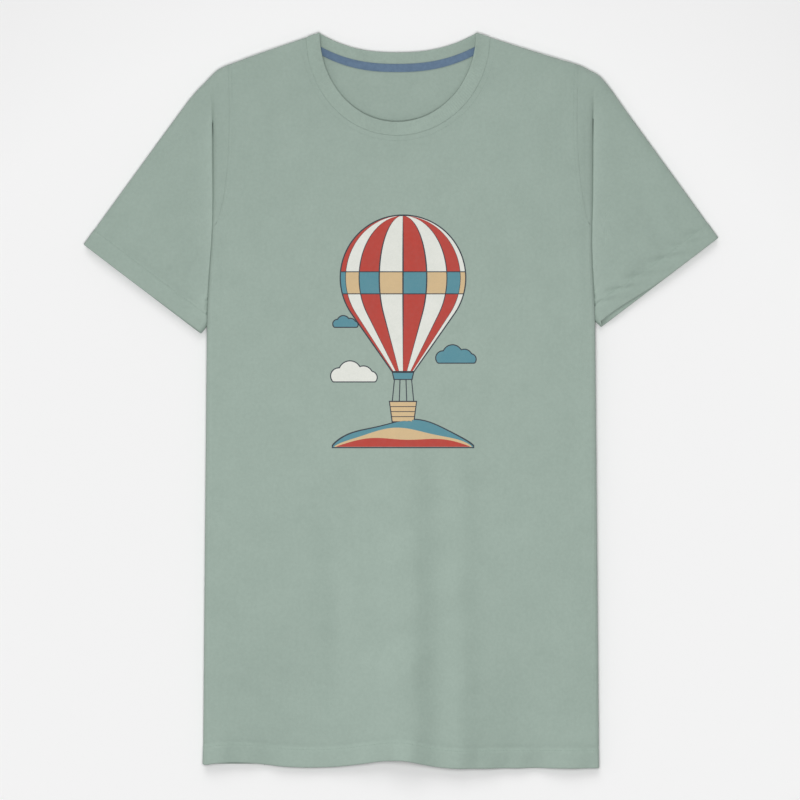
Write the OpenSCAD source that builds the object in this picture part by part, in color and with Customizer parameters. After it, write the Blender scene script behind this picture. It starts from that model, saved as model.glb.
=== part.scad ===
// Crew-neck T-shirt laid on its back, its sides folded under the body.
// Millimetres. X across the shirt, Y up to the neck, Z up from the floor.
// Left and right are the wearer's own, so the left sleeve is on +X.

/* [Body] */
// Length from the high shoulder point to the bottom hem
body_len = 735; // [620:5:820]
// Width of the laid body under the arms, between the folded sides
chest_w = 388; // [340:2:460]
// Width of the laid body at the bottom hem
hem_w = 396; // [340:2:460]
// Width of each side that is folded under the body
tuck_w = 60; // [45:1:75]
// Height of the bottom hem
hem_h = 18; // [10:1:30]

/* [Neck] */
// Width of the neck opening
neck_w = 156; // [130:2:190]
// Depth of the front neckline below the high shoulder point
neck_drop = 89; // [70:1:120]
// Depth of the back neckline below the high shoulder point
back_drop = 20; // [14:1:35]
// Height of the ribbed neckband
band_h = 14; // [10:1:25]
// Width of the tape that covers the back neck seam
tape_w = 8; // [5:0.5:14]

/* [Shoulders and sleeves] */
// Distance between the two shoulder points
shoulder_w = 350; // [320:2:400]
// Drop of the shoulder point below the high shoulder point
shoulder_drop = 32; // [20:1:45]
// Depth at which the armhole seam goes over the folded side
armhole_drop = 190; // [170:1:210]
// Width between the folds at the top of the sides
crease_w = 380; // [340:2:420]
// Angle of the laid sleeve below the level
sleeve_angle = 54; // [45:1:60]
// Length of the sleeve from the corner of the shoulder to its hem
sleeve_len = 210; // [170:2:250]
// Width of the flat sleeve at its hem
sleeve_open = 146; // [120:2:180]
// Height of the sleeve hem
sleeve_hem_h = 17; // [10:1:26]

/* [Cloth] */
// Thickness of the jersey
cloth_t = 0.8; // [0.6:0.1:1]
// Thickness of a turned hem
hem_t = 1.4; // [1.2:0.1:2]
// Thickness of the ribbed neckband
rib_t = 2; // [1.4:0.1:2.6]
// Thickness of the neck tape
tape_t = 0.8; // [0.5:0.1:1.2]
// Gap left between two pieces along a seam
seam_gap = 0.3; // [0.1:0.05:0.4]

/* [Lay] */
// Height of the front at the folded sides
edge_h = 13; // [10:0.5:18]
// Extra height of the front along the middle
crown_h = 4; // [0:0.5:10]
// Height of the sleeve's upper layer
sleeve_loft = 9; // [6:0.5:14]
// Distance over which the shoulder edge rolls round
roll_w = 12; // [6:1:20]

/* [Hidden] */
hsp_y = body_len / 2;
hem_y = -body_len / 2;
hem_top = hem_y + hem_h;
neck_hw = neck_w / 2;
band_hw = neck_hw + band_h;
slope = shoulder_drop / (shoulder_w / 2 - neck_hw);
seam_y = hsp_y - band_h * slope;
shoulder_p = [shoulder_w / 2, hsp_y - shoulder_drop];
cross_y = hsp_y - armhole_drop;
corner_out = 19;
corner_x = shoulder_w / 2 + corner_out;
corner_p = [corner_x, hsp_y - (corner_x - neck_hw) * slope];
along = [cos(sleeve_angle), -sin(sleeve_angle)];
tip_p = corner_p + sleeve_len * along;
under_p = tip_p + sleeve_open * [-sin(sleeve_angle), -cos(sleeve_angle)];
armpit_low = 38;
strip_fall = 53;
armpit_p = [crease_w / 2 - 0.9 * tuck_w, cross_y - armpit_low];
ply = cloth_t / 2;
ply_step = 2 * hem_t - cloth_t + 0.2;
back_fold_r = 0.7;
back_inset = 6;
under_h = 2 * cloth_t + 0.6;
join_z = edge_h * 0.42;
top_b = [0, .12, .28, .44, .58, .7, .79, .86, .91, .945, .97, .984, .993, .998, 1];
across_c = [0, .012, .035, .075, .15, .26, .38, .5, .61, .7, .725, .76, .83, .9, .96, .99, 1];
cap_end = 9;
armhole_n = 6;
neck_n = 10;
inner_x = 0.74 * shoulder_p[0];
edge_x = hem_w / 2 - edge_h / 2;
hem_pull = 0.85;
bead_w = 1.5;

// General helpers
function mix(a, b, t) = a + (b - a) * t;
function clip(t) = min(max(t, 0), 1);
function ease(t) = let (c = clip(t)) c * c * (3 - 2 * c);
function bezier3(a, b, c, t) = mix(mix(a, b, t), mix(b, c, t), t);
function bezier4(a, b, c, d, t) = mix(bezier3(a, b, c, t), bezier3(b, c, d, t), t);
function flip(p) = [-p[0], p[1], p[2]];
function both_halves(h) = concat([for (i = [len(h) - 1:-1:1]) flip(h[i])], h);

// Direction across a grid of points at one of them
function grid_normal(g, j, i, wrap) =
    let (n = len(g[0]), last = len(g) - 1,
         next = wrap ? (i + 1) % n : min(i + 1, n - 1),
         before = wrap ? (i + n - 1) % n : max(i - 1, 0),
         a = g[j][next] - g[j][before],
         b = g[min(j + 1, last)][i] - g[max(j - 1, 0)][i],
         c = cross(a, b))
    c / max(norm(c), 1e-9);

// Solid sheet of cloth over a grid of points, wrapped round into a tube if asked
module cloth(g, over, below, wrap = false) {
    n = len(g[0]);
    rows = len(g);
    m = n * rows;
    over_points = [for (j = [0:rows - 1], i = [0:n - 1])
        g[j][i] + over * grid_normal(g, j, i, wrap)];
    below_points = [for (j = [0:rows - 1], i = [0:n - 1])
        g[j][i] - below * grid_normal(g, j, i, wrap)];
    steps = [for (i = [0:wrap ? n - 1 : n - 2]) [i, (i + 1) % n]];
    faces = concat(
        [for (j = [0:rows - 2], s = steps, k = [0, 1])
            k == 0 ? [j * n + s[0], (j + 1) * n + s[0], (j + 1) * n + s[1]]
                   : [j * n + s[0], (j + 1) * n + s[1], j * n + s[1]]],
        [for (j = [0:rows - 2], s = steps, k = [0, 1])
            k == 0 ? [m + j * n + s[0], m + (j + 1) * n + s[1], m + (j + 1) * n + s[0]]
                   : [m + j * n + s[0], m + j * n + s[1], m + (j + 1) * n + s[1]]],
        [for (s = steps, k = [0, 1])
            k == 0 ? [s[0], s[1], m + s[1]] : [s[0], m + s[1], m + s[0]]],
        let (e = (rows - 1) * n) [for (s = steps, k = [0, 1])
            k == 0 ? [e + s[1], e + s[0], m + e + s[0]] : [e + s[1], m + e + s[0], m + e + s[1]]],
        wrap ? [] : [for (j = [0:rows - 2], k = [0, 1])
            k == 0 ? [(j + 1) * n, j * n, m + j * n] : [(j + 1) * n, m + j * n, m + (j + 1) * n]],
        wrap ? [] : let (e = n - 1) [for (j = [0:rows - 2], k = [0, 1])
            k == 0 ? [e + j * n, e + (j + 1) * n, m + e + (j + 1) * n]
                   : [e + j * n, m + e + (j + 1) * n, m + e + j * n]]);
    polyhedron(concat(over_points, below_points), faces, convexity = 10);
}

// Half width of the laid body, out to its fold
function half_w(y) =
    y < under_p[1] ? mix(hem_w, chest_w, (y - hem_y) / (under_p[1] - hem_y)) / 2
                   : mix(chest_w, crease_w, ease((y - under_p[1]) / (cross_y - under_p[1]))) / 2;

// Heights of the folded-under side, which rides over the sleeve near the armpit
function lift(y) = under_h * ease((y - under_p[1] + 130) / 120);
function strip_front_z(y) = ply + lift(y);
function strip_back_z(y) = strip_front_z(y) + ply_step;
function fold_r(y) = (edge_h - strip_front_z(y)) / 2;

// Roll of the shoulder edge, 0 on the edge and 1 where the cloth lies flat
function below_shoulder(p) = (hsp_y - (p[0] - neck_hw) * slope - p[1]) / sqrt(1 + slope * slope);
function roll(d) = let (c = 1 - clip(d / roll_w)) sqrt(max(0, 1 - c * c));

// Heights of the front and back of the body at a place on the plan
function front_flat(p) =
    edge_h + crown_h * (1 - pow(clip(p[0] / (half_w(p[1]) - fold_r(p[1]))), 2));
function back_flat(p) =
    mix(ply, strip_back_z(p[1]) + 2 * back_fold_r,
        ease((p[0] - half_w(p[1]) + tuck_w + 30) / 26) * (1 - ease((p[1] - cross_y - 4) / 50)));
function front_z(p) = mix(join_z + seam_gap / 2, front_flat(p), roll(below_shoulder(p)));
function back_z(p) = mix(join_z - seam_gap / 2, back_flat(p), roll(below_shoulder(p)));

// Outlines of the panels on the plan
function front_neck(t) = [band_hw * sin(t), seam_y - (seam_y - hsp_y + neck_drop + band_h) * cos(t)];
function back_neck(t) =
    let (low = hsp_y - back_drop - band_h) [band_hw * sin(t), mix(low, seam_y, pow(sin(t), 2.4))];
function armhole_curve(t) =
    bezier4(shoulder_p, shoulder_p + [-1.5, -43], [shoulder_p[0] - 6, cross_y + 38],
            [crease_w / 2 - fold_r(cross_y), cross_y], t);
function armhole(t) =
    let (k = min(floor(t * armhole_n), armhole_n - 1))
    mix(armhole_curve(k / armhole_n), armhole_curve((k + 1) / armhole_n), t * armhole_n - k);
function strip_top(t) = cross_y - strip_fall * sin(90 * t);

// Upper outline of a panel from the middle out to the fold, with the place below each point on the hem
function upper_line(front) = concat(
    [for (k = [0:neck_n])
        let (t = 90 * k / neck_n, p = front ? front_neck(t) : back_neck(t))
        [p, hem_pull * p[0]]],
    [for (k = [1:3])
        let (p = mix([band_hw, seam_y], shoulder_p, k / 3))
        [p, mix(hem_pull * p[0], inner_x, k / 3)]],
    [for (k = [1:armhole_n - 1])
        [armhole(k / armhole_n), mix(inner_x, edge_x, k / armhole_n)]]);

// Half a row of the front: the top, round the fold and under the body
function front_half(b, y0, y1) =
    let (from_y = is_undef(y1) ? hem_top : y0)
    concat(
        [for (u = upper_line(true))
            let (p = is_undef(y1) ? mix([u[1], hem_top], u[0], b) : [u[1], mix(y0, y1, b)])
            [p[0], p[1], front_z(p)]],
        [for (k = [0:6])
            let (y = mix(from_y, is_undef(y1) ? strip_top(k / 6 * 0.2) : y1, b), r = fold_r(y))
            [half_w(y) - r + r * sin(30 * k), y, edge_h - r + r * cos(30 * k)]],
        [for (k = [1:3])
            let (y = mix(from_y, is_undef(y1) ? strip_top(0.2 + 0.8 * k / 3) : y1, b), r = fold_r(y))
            [half_w(y) - mix(r, tuck_w, k / 3), y, strip_front_z(y)]]);

// Half a row of the back: the same way, inside the fold of the front
function back_half(b, y0, y1) =
    let (from_y = is_undef(y1) ? hem_top : y0, r = back_fold_r)
    concat(
        [for (u = upper_line(false))
            let (k = clip((u[1] - inner_x) / (edge_x - inner_x)), s = k * back_inset * (1 - b),
                 p = is_undef(y1) ? mix([u[1] - s, hem_top], u[0], b)
                                  : [u[1] - k * back_inset, mix(y0, y1, b)])
            [p[0], p[1], back_z(p)]],
        [for (k = [0:4])
            let (y = mix(from_y, is_undef(y1) ? strip_top(k / 4 * 0.15) : y1, b),
                 z = strip_back_z(y) + r)
            [half_w(y) - back_inset - r + r * sin(45 * k), y, z + r * cos(45 * k)]],
        [for (k = [1:3])
            let (y = mix(from_y, is_undef(y1) ? strip_top(0.15 + 0.85 * k / 3) : y1, b))
            [half_w(y) - mix(back_inset + r, tuck_w, k / 3), y, strip_back_z(y)]]);

// Sleeve outline on the plan: seam at the body, upper edge and hem
function sleeve_seam(c) =
    let (w = crease_w / 2, last = across_c[cap_end])
    c <= last
  ? armhole(c / last) + [seam_gap + 0.2, c == 0 ? -seam_gap * slope : c == last ? 1.5 : 0]
  : let (t = (c - last) / (1 - last))
    t < 0.1 ? [w + 2.5, cross_y - 6] : t < 0.21 ? [w + 1.5, cross_y - 17]
  : mix([w - 2, cross_y - 24], armpit_p, (t - 0.2) / 0.8);
function sleeve_top(s) =
    let (a = shoulder_p + [seam_gap, -seam_gap * slope], q = corner_p + 34 * along)
    s < 0.25 ? bezier3(a, corner_p, q, s / 0.25) : mix(q, tip_p, (s - 0.25) / 0.75);
function sleeve_point(c, s) =
    let (end = mix(tip_p, under_p, c), ruled = mix(sleeve_seam(c), end, s),
         bulge = sleeve_top(s) - mix(sleeve_seam(0), tip_p, s))
    ruled + bulge * (1 - c);

// Stations along the sleeve, with close ones where it comes out from under the fold
function hem_start(c) = 1 - sleeve_hem_h / norm(mix(tip_p, under_p, c) - sleeve_seam(c));
function fold_at(c) =
    let (a = sleeve_seam(c), e = mix(tip_p, under_p, c)) clip((half_w(a[1]) - a[0]) / (e[0] - a[0]));
function station(c, j) =
    let (h = hem_start(c), f = fold_at(c), out = min(f + 0.09, 0.92 * h))
    j == 0 ? 0 : j == 1 ? min(max(f - 0.02, 0.006), 0.8 * h)
  : j == 2 ? min(max(f + 0.02, 0.03), 0.86 * h) : mix(out, h, (j - 3) / 5);

// Heights of the two layers of the sleeve
function sleeve_upper(p, cap) =
    let (e = p[0] - half_w(p[1]), w = ease((p[1] - cross_y - 30) / 100),
         low = mix(under_h - 0.5, sleeve_loft, ease((e + 2) / 26)),
         high = mix(front_flat(p), sleeve_loft, ease(e / 44)))
    cap ? front_flat(p) : mix(low, high, w);
function sleeve_edge(c, w) = roll(min(c, 1 - c) * w);
function sleeve_ring(s_of, j) =
    let (n = len(across_c) - 1)
    concat(
        [for (k = [0:n]) let (c = across_c[k], p = sleeve_point(c, s_of(c, j)),
             cap = j < 2 && k <= cap_end, under = k > cap_end && j < 2,
             z = k == cap_end + 1 && under ? mix(under_h, edge_h, 0.45)
               : under ? under_h - 0.5 : sleeve_upper(p, cap),
             mid = min(join_z, (z + ply) / 2))
            [p[0], p[1], mix(mid, z, sleeve_edge(c, sleeve_open))]],
        [for (k = [n - 1:-1:1]) let (c = across_c[k], s = s_of(c, j), p = sleeve_point(c, s),
             z = mix(k <= cap_end ? back_flat(sleeve_seam(c)) : ply, ply, ease(s / 0.3)),
             mid = min(join_z, (sleeve_upper(p, false) + z) / 2))
            [p[0], p[1], mix(mid, z, sleeve_edge(c, sleeve_open))]]);
sleeve_rows = [for (j = [0:8]) sleeve_ring(function (c, j) station(c, j), j)];
sleeve_hem_rows = [for (j = [0:2])
    sleeve_ring(function (c, j) mix(hem_start(c), 1, (j - 2) / 2), j + 2)];

// Neckband: a ring of points from the seam up to the free edge
function band_point(t, m) =
    let (front = abs(t) <= 90, a = front ? t : 180 - t, g = 1 - seam_gap / band_h,
         seam = front ? front_neck(abs(a)) : back_neck(abs(a)),
         free = front ? [neck_hw * sin(abs(a)), hsp_y - neck_drop * cos(a)]
                      : [neck_hw * sin(abs(a)), hsp_y - back_drop * (1 - pow(abs(sin(a)), 2.4))],
         p = mix(free, seam, g * (1 - m)),
         z = front ? front_z(p) : back_z(p) + (rib_t - cloth_t) / 2)
    [sign(a) * p[0], p[1], abs(a) == 90 ? join_z : z];
band_turns = [for (k = [-neck_n:3 * neck_n - 1]) 90 * k / neck_n];

module front_panel() color("#9bada1") cloth([for (b = top_b) both_halves(front_half(b))], ply, ply);
module back_panel() color("#93a599") cloth([for (b = top_b) both_halves(back_half(b))], ply, ply);
module front_hem() color("#98aa9e")
    cloth([for (b = [0, .5, 1]) both_halves(front_half(b, hem_y, hem_top))], ply, hem_t - ply);
module back_hem() color("#90a296")
    cloth([for (b = [0, .5, 1]) both_halves(back_half(b, hem_y, hem_top))], hem_t - ply, ply);
module left_sleeve() color("#9bada1") cloth(sleeve_rows, ply, ply, true);
module right_sleeve() mirror([1, 0, 0]) left_sleeve();
module left_sleeve_hem() color("#98aa9e") cloth(sleeve_hem_rows, ply, hem_t - ply, true);
module right_sleeve_hem() mirror([1, 0, 0]) left_sleeve_hem();
module neckband() color("#94a79b")
    cloth([for (m = [0:3]) [for (t = band_turns) band_point(t, m / 3)]], rib_t / 2, rib_t / 2, true);

// Tape over the back neck seam, on the inside of the back
module neck_tape() color("#66809c") {
    cloth([for (m = [0, 1]) [for (k = [-8:8])
        let (t = 7.4 * k, p = back_neck(abs(t)) - [0, tape_w * (1 - m)])
        [sign(t) * p[0], p[1], back_z(p) + ply + tape_t / 2]]],
        tape_t / 2, tape_t / 2);
}

// Bead of the side seam along the inner edge of the folded-under side
module left_side_seam() color("#8c9d92")
    cloth([for (y = concat([hem_y], [for (b = top_b) mix(hem_top, strip_top(1), b)]))
        let (x = half_w(y) - tuck_w - bead_w / 2)
        [[x, y, strip_front_z(y) - ply], [x, y, strip_back_z(y)]]], bead_w / 2, bead_w / 2);
module right_side_seam() mirror([1, 0, 0]) left_side_seam();

front_panel();
back_panel();
left_sleeve();
right_sleeve();
front_hem();
back_hem();
left_sleeve_hem();
right_sleeve_hem();
neckband();
neck_tape();
left_side_seam();
right_side_seam();
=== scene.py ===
"""Crew-neck T-shirt laid on its back: cloth, rib, tape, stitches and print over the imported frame.

Shapes are worked out in millimetres and written to the meshes in metres. Left and right are the
wearer's own, so the left sleeve is on +X.
"""
import logging
import math
from dataclasses import dataclass
from enum import Enum
from functools import cached_property

import bpy
import numpy as np
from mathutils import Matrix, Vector
from mathutils.geometry import delaunay_2d_cdt


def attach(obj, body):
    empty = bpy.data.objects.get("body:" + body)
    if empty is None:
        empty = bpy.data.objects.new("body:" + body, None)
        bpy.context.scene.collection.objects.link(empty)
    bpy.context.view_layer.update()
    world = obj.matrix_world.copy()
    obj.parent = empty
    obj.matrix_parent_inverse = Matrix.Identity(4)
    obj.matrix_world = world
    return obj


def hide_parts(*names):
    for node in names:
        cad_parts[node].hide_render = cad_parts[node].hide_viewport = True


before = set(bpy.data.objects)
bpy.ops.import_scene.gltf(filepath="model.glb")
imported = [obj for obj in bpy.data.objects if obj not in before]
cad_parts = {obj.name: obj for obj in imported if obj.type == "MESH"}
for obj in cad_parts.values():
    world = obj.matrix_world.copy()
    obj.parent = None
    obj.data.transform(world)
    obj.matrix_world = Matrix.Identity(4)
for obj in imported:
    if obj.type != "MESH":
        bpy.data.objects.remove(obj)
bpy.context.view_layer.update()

LOG = logging.getLogger("t_shirt")
MM = 0.001
BODY = "root"
UV_NAME = "cloth"
# Point attribute with painted light and shade: on the front's folds and along each sleeve's crest.
PAINTED_SHADING_NAME = "painted_shading"

Array = np.ndarray
Colour = tuple[int, int, int]


class Side(Enum):
    """The wearer's side, with the sign of its X."""

    LEFT = 1
    RIGHT = -1


class Layer(Enum):
    """The two panels of the body, with the direction of their outer face."""

    FRONT = 1
    BACK = -1


class Slot(Enum):
    """Material slots of the record."""

    JERSEY = "jersey"
    RIB = "rib_knit"
    TAPE = "neck_tape"


def ease(t: Array | float) -> Array:
    """Smooth step from 0 to 1."""
    c = np.clip(t, 0.0, 1.0)
    return c * c * (3.0 - 2.0 * c)


def mix(a: Array | float, b: Array | float, t: Array | float) -> Array:
    """Value between a and b."""
    return a + (b - a) * t


def bell(x: Array | float, middle: float, width: float) -> Array:
    """Rounded hump of height 1 at its middle."""
    return np.exp(-(((x - middle) / width) ** 2))


def roll(d: Array | float, width: float) -> Array:
    """Quarter-round rise over a distance from an edge."""
    c = 1.0 - np.clip(d / width, 0.0, 1.0)
    return np.sqrt(np.maximum(0.0, 1.0 - c * c))


def squared(t: Array, power: Array) -> Array:
    """Sine or cosine of a turn round a squarer curve than a circle."""
    return np.sign(t) * np.abs(t) ** (2.0 / power)


def ripple(s: Array, seed: int, longest: float, shortest: float) -> Array:
    """Irregular wave along a line.

    Args:
        s: Places along the line, in millimetres.
        seed: Seed of the wave's phases.
        longest: Longest wavelength.
        shortest: Shortest wavelength.

    Returns:
        Heights, mostly between -1 and 1.
    """
    rng = np.random.default_rng(seed)
    lengths = np.geomspace(longest, shortest, 5)
    phases = rng.uniform(0.0, 2.0 * math.pi, len(lengths))
    return sum(np.sin(2.0 * math.pi * s / w + p) for w, p in zip(lengths, phases)) / 2.6


def linear(colour: Colour) -> tuple[float, float, float, float]:
    """Linear RGBA of a colour given in 0 to 255."""
    parts = [c / 255.0 for c in colour]
    return (*[p / 12.92 if p <= 0.04045 else ((p + 0.055) / 1.055) ** 2.4 for p in parts], 1.0)


@dataclass(frozen=True)
class Fold:
    """A soft fold that runs up the front of the body."""

    x: float
    low_y: float
    high_y: float
    width: float
    height: float
    lean: float = 0.0
    flare: float = 0.0
    left: float = 0.0

    WANDER = 2.8
    WANDER_WAVE = (41, 150.0, 62.0)
    UNEVEN = 0.22
    UNEVEN_WAVE = (42, 130.0, 54.0)

    def rise(self, x: Array, y: Array) -> Array:
        """Height that the fold adds.

        Args:
            x: Places across the plan.
            y: Places up the plan.

        Returns:
            Heights in millimetres.
        """
        middle = self.x + self.lean * (y - (self.low_y + self.high_y) / 2.0)
        middle = middle + self.WANDER * ripple(y + 3.0 * self.x, *self.WANDER_WAVE)
        ends = ease((y - self.low_y + 45.0) / 60.0) * ease((self.high_y - y + 60.0) / 90.0)
        size = self.height + self.flare * ease((self.high_y - y) / (self.high_y + 400.0))
        size = size * (1.0 + self.UNEVEN * ripple(y + 5.0 * self.x, *self.UNEVEN_WAVE))
        width = np.where(x < middle, self.left or self.width, self.width)
        return size * np.exp(-(((x - middle) / width) ** 2)) * ends

    def slope(self, x: Array, y: Array) -> Array:
        """Slope of the fold across the plan."""
        return (self.rise(x + 1.0, y) - self.rise(x - 1.0, y)) / 2.0


FRONT_FOLDS = (
    Fold(11.0, -420.0, -60.0, 17.0, 2.8, 0.0, 5.0, 35.0),
    Fold(60.0, -420.0, -50.0, 14.0, 1.4, 0.0, 2.2, 18.0),
    Fold(-66.0, -290.0, -150.0, 15.0, -1.8, -0.05),
    Fold(-112.0, -420.0, -120.0, 84.0, -0.8, 0.0, -5.2, 54.0),
    Fold(-178.0, -420.0, -260.0, 14.0, 0.0, 0.0, 2.4, 12.0),
    Fold(118.0, -420.0, -230.0, 40.0, -0.5, 0.0, -4.6, 28.0),
)


@dataclass(frozen=True)
class ShirtLay:
    """Sizes of the laid shirt in millimetres, and the heights at which its cloth lies."""

    body_len: float = 735.0
    chest_w: float = 388.0
    hem_w: float = 396.0
    tuck_w: float = 60.0
    hem_h: float = 18.0
    neck_w: float = 156.0
    neck_drop: float = 89.0
    back_drop: float = 19.1
    band_h: float = 14.0
    tape_w: float = 8.0
    shoulder_w: float = 350.0
    shoulder_drop: float = 32.0
    armhole_drop: float = 190.0
    crease_w: float = 380.0
    sleeve_angle: float = 54.0
    sleeve_len: float = 210.0
    sleeve_open: float = 146.8
    sleeve_hem_h: float = 17.0
    cloth_t: float = 0.8
    sheet_slack: float = 0.05
    rib_t: float = 2.0
    tape_t: float = 0.8
    turn_gap: float = 0.95
    ply_step: float = 2.2
    back_fold_r: float = 0.7
    back_inset: float = 6.0
    edge_h: float = 13.0
    crown_h: float = 4.0
    sleeve_loft: float = 9.6
    roll_w: float = 12.0
    back_short: float = 2.2
    neck_dip: float = 8.0
    nape_rise: float = 3.2
    crease_r: float = 5.0
    crease_run: float = 8.0
    crease_dip: float = 1.6
    nape_band: float = 11.6
    fold_square: float = 3.0
    hem_slant: float = 37.3
    corner_out: float = 19.0
    armpit_in: float = 0.9
    armpit_drop: float = 38.0
    strip_drop: float = 53.0
    front_turn: float = 0.2
    back_turn: float = 0.15
    under_room: float = 0.6
    join_share: float = 0.42
    join_gap: float = 0.15
    sag_share: float = 0.2
    sag_from: float = 170.0
    sag_run: float = 190.0
    pleat_from: float = 262.0
    pleat_run: float = 58.0
    dip_reach: float = 0.7
    nape_reach: float = 0.5
    nape_power: float = 2.4
    # Painted light and shade on the front's folds: its largest share, and how fast it grows with
    # the slope.
    painted_shading_most: float = 0.4
    painted_shading_rate: float = 4.6
    hem_draw: float = 8.6
    hem_draw_right: float = 5.8
    neck_shift: float = 4.0
    arm_shift: float = 2.2
    arm_swing: float = 3.3

    @cached_property
    def hsp_y(self) -> float:
        """Height on the plan of the high shoulder point."""
        return self.body_len / 2.0

    @cached_property
    def hem_y(self) -> float:
        """Height on the plan of the bottom hem."""
        return -self.body_len / 2.0

    @cached_property
    def neck_hw(self) -> float:
        """Half width of the neck opening."""
        return self.neck_w / 2.0

    @cached_property
    def band_hw(self) -> float:
        """Half width between the outer seams of the neckband."""
        return self.neck_hw + self.band_h

    @cached_property
    def slope(self) -> float:
        """Slope of the shoulder."""
        return self.shoulder_drop / (self.shoulder_w / 2.0 - self.neck_hw)

    @cached_property
    def seam_y(self) -> float:
        """Height on the plan of the end of the neckband's seam."""
        return self.hsp_y - self.band_h * self.slope

    @cached_property
    def shoulder_p(self) -> Array:
        """Shoulder point."""
        return np.array([self.shoulder_w / 2.0, self.hsp_y - self.shoulder_drop])

    @cached_property
    def cross_y(self) -> float:
        """Height at which the armhole seam goes over the folded side."""
        return self.hsp_y - self.armhole_drop

    @cached_property
    def along(self) -> Array:
        """Direction of the sleeve."""
        a = math.radians(self.sleeve_angle)
        return np.array([math.cos(a), -math.sin(a)])

    @cached_property
    def corner_p(self) -> Array:
        """Corner where the shoulder line turns into the sleeve."""
        x = self.shoulder_w / 2.0 + self.corner_out
        return np.array([x, self.hsp_y - (x - self.neck_hw) * self.slope])

    @cached_property
    def tip_p(self) -> Array:
        """Upper corner of the sleeve's hem."""
        return self.corner_p + self.sleeve_len * self.along

    @cached_property
    def under_p(self) -> Array:
        """Lower corner of the sleeve's hem."""
        a = math.radians(self.hem_slant)
        return self.tip_p - self.sleeve_open * np.array([math.cos(a), math.sin(a)])

    @cached_property
    def armpit_p(self) -> Array:
        """End of the sleeve's underarm edge, hidden under the body."""
        inner_x = self.crease_w / 2.0 - self.armpit_in * self.tuck_w
        return np.array([inner_x, self.cross_y - self.armpit_drop])

    @cached_property
    def ply(self) -> float:
        """Half the cloth's thickness."""
        return self.cloth_t / 2.0

    @cached_property
    def sheet_t(self) -> float:
        """Thickness of the cloth's sheets, a little less than the frame's."""
        return self.cloth_t - self.sheet_slack

    @cached_property
    def under_h(self) -> float:
        """Room for the sleeve's two layers under the folded side."""
        return 2.0 * self.cloth_t + self.under_room

    @cached_property
    def join_z(self) -> float:
        """Height of the line where the front and back meet."""
        return self.join_share * self.edge_h

    @cached_property
    def armhole_line(self) -> Array:
        """Points down the armhole seam.

        Returns:
            Places on the plan, from the shoulder to the fold.
        """
        t = np.linspace(0.0, 1.0, 81)[:, None]
        top = self.shoulder_p
        a, b = top + [-1.5, -43.0], np.array([top[0] - 3.5, self.cross_y + 46.0])
        end = np.array([self.crease_w / 2.0 - self.fold_r(self.cross_y), self.cross_y])
        return (1 - t) ** 3 * top + 3 * t * (1 - t) ** 2 * a + 3 * t * t * (1 - t) * b + t**3 * end

    def armhole(self, t: Array) -> Array:
        """Points on the armhole seam for shares of the way down it."""
        k = np.linspace(0.0, 1.0, len(self.armhole_line))
        return np.stack([np.interp(t, k, self.armhole_line[:, i]) for i in (0, 1)], axis=-1)

    def armhole_x(self, y: Array) -> Array:
        """X of the armhole seam at heights on the plan."""
        line = self.armhole_line[::-1]
        return np.interp(y, line[:, 1], line[:, 0])

    def half_w(self, y: Array) -> Array:
        """Half width of the laid body, out to its fold.

        Args:
            y: Places up the plan.

        Returns:
            Half widths in millimetres.
        """
        low = mix(self.hem_w, self.chest_w, (y - self.hem_y) / (self.under_p[1] - self.hem_y)) / 2.0
        rise = ease((y - self.under_p[1]) / (self.cross_y - self.under_p[1]))
        return np.where(y < self.under_p[1], low, mix(self.chest_w, self.crease_w, rise) / 2.0)

    def strip_front_z(self, y: Array) -> Array:
        """Height of the front's folded-under side, which rides over the sleeve."""
        return self.ply + self.under_h * ease((y - self.under_p[1] + 130.0) / 120.0)

    def strip_back_z(self, y: Array) -> Array:
        """Height of the back's folded-under side."""
        return self.strip_front_z(y) + self.ply_step

    def sag(self, y: Array) -> Array:
        """Share of its height that the front keeps towards the bottom hem."""
        return 1.0 - self.sag_share * ease((-y - self.sag_from) / self.sag_run)

    def edge_z(self, y: Array) -> Array:
        """Height of the front where it starts to turn round the side fold."""
        return self.edge_h * self.sag(y) - self.edge_drop(y)

    def pleat(self, y: Array) -> Array:
        """Share to which the cap of a sleeve is creased beside the body."""
        return 1.0 - ease((y - self.pleat_from) / self.pleat_run)

    def edge_drop(self, y: Array) -> Array:
        """Depth to which the front dips towards the crease."""
        return self.crease_dip * ease((y - 40.0) / 90.0) * self.pleat(y)

    def off_neck(self, x: Array, y: Array) -> Array:
        """Distance outside the neck opening, as a share of its size."""
        out = np.hypot(x / self.neck_hw, (y - self.hsp_y) / self.neck_drop)
        return np.clip(out - 1.0, 0.0, None)

    def fold_r(self, y: Array) -> Array:
        """Radius of the front's side fold."""
        return (self.edge_z(y) - self.strip_front_z(y)) / 2.0

    def below_shoulder(self, x: Array, y: Array) -> Array:
        """Distance of a place on the plan below the shoulder line."""
        line = self.hsp_y - (np.abs(x) - self.neck_hw) * self.slope
        return (line - y) / math.hypot(1.0, self.slope)

    def front_top(self, x: Array, y: Array) -> Array:
        """Height of the front's middle surface, without the roll at the shoulder.

        Args:
            x: Places across the plan.
            y: Places up the plan.

        Returns:
            Heights in millimetres.
        """
        inner = self.half_w(y) - self.fold_r(y)
        u = np.clip(np.abs(x) / inner, 0.0, 1.0)
        crown = self.crown_h * self.sag(y) * (1.0 - u * u)
        side = self.edge_drop(y) * np.exp(-((np.clip(inner - np.abs(x), 0.0, None) / 6.5) ** 2))
        waves = 0.55 * ripple(x + 0.35 * y, 5, 240.0, 90.0)
        waves = waves + 0.45 * ripple(y - 0.3 * x, 6, 260.0, 110.0)
        folds = sum(f.rise(x, y) for f in FRONT_FOLDS)
        dip = self.neck_dip * np.exp(-((self.off_neck(x, y) / self.dip_reach) ** 2))
        loose = (waves + folds) * (1.0 - ease((u - 0.9) / 0.1))
        return self.edge_h * self.sag(y) + crown - side - dip + loose

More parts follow.
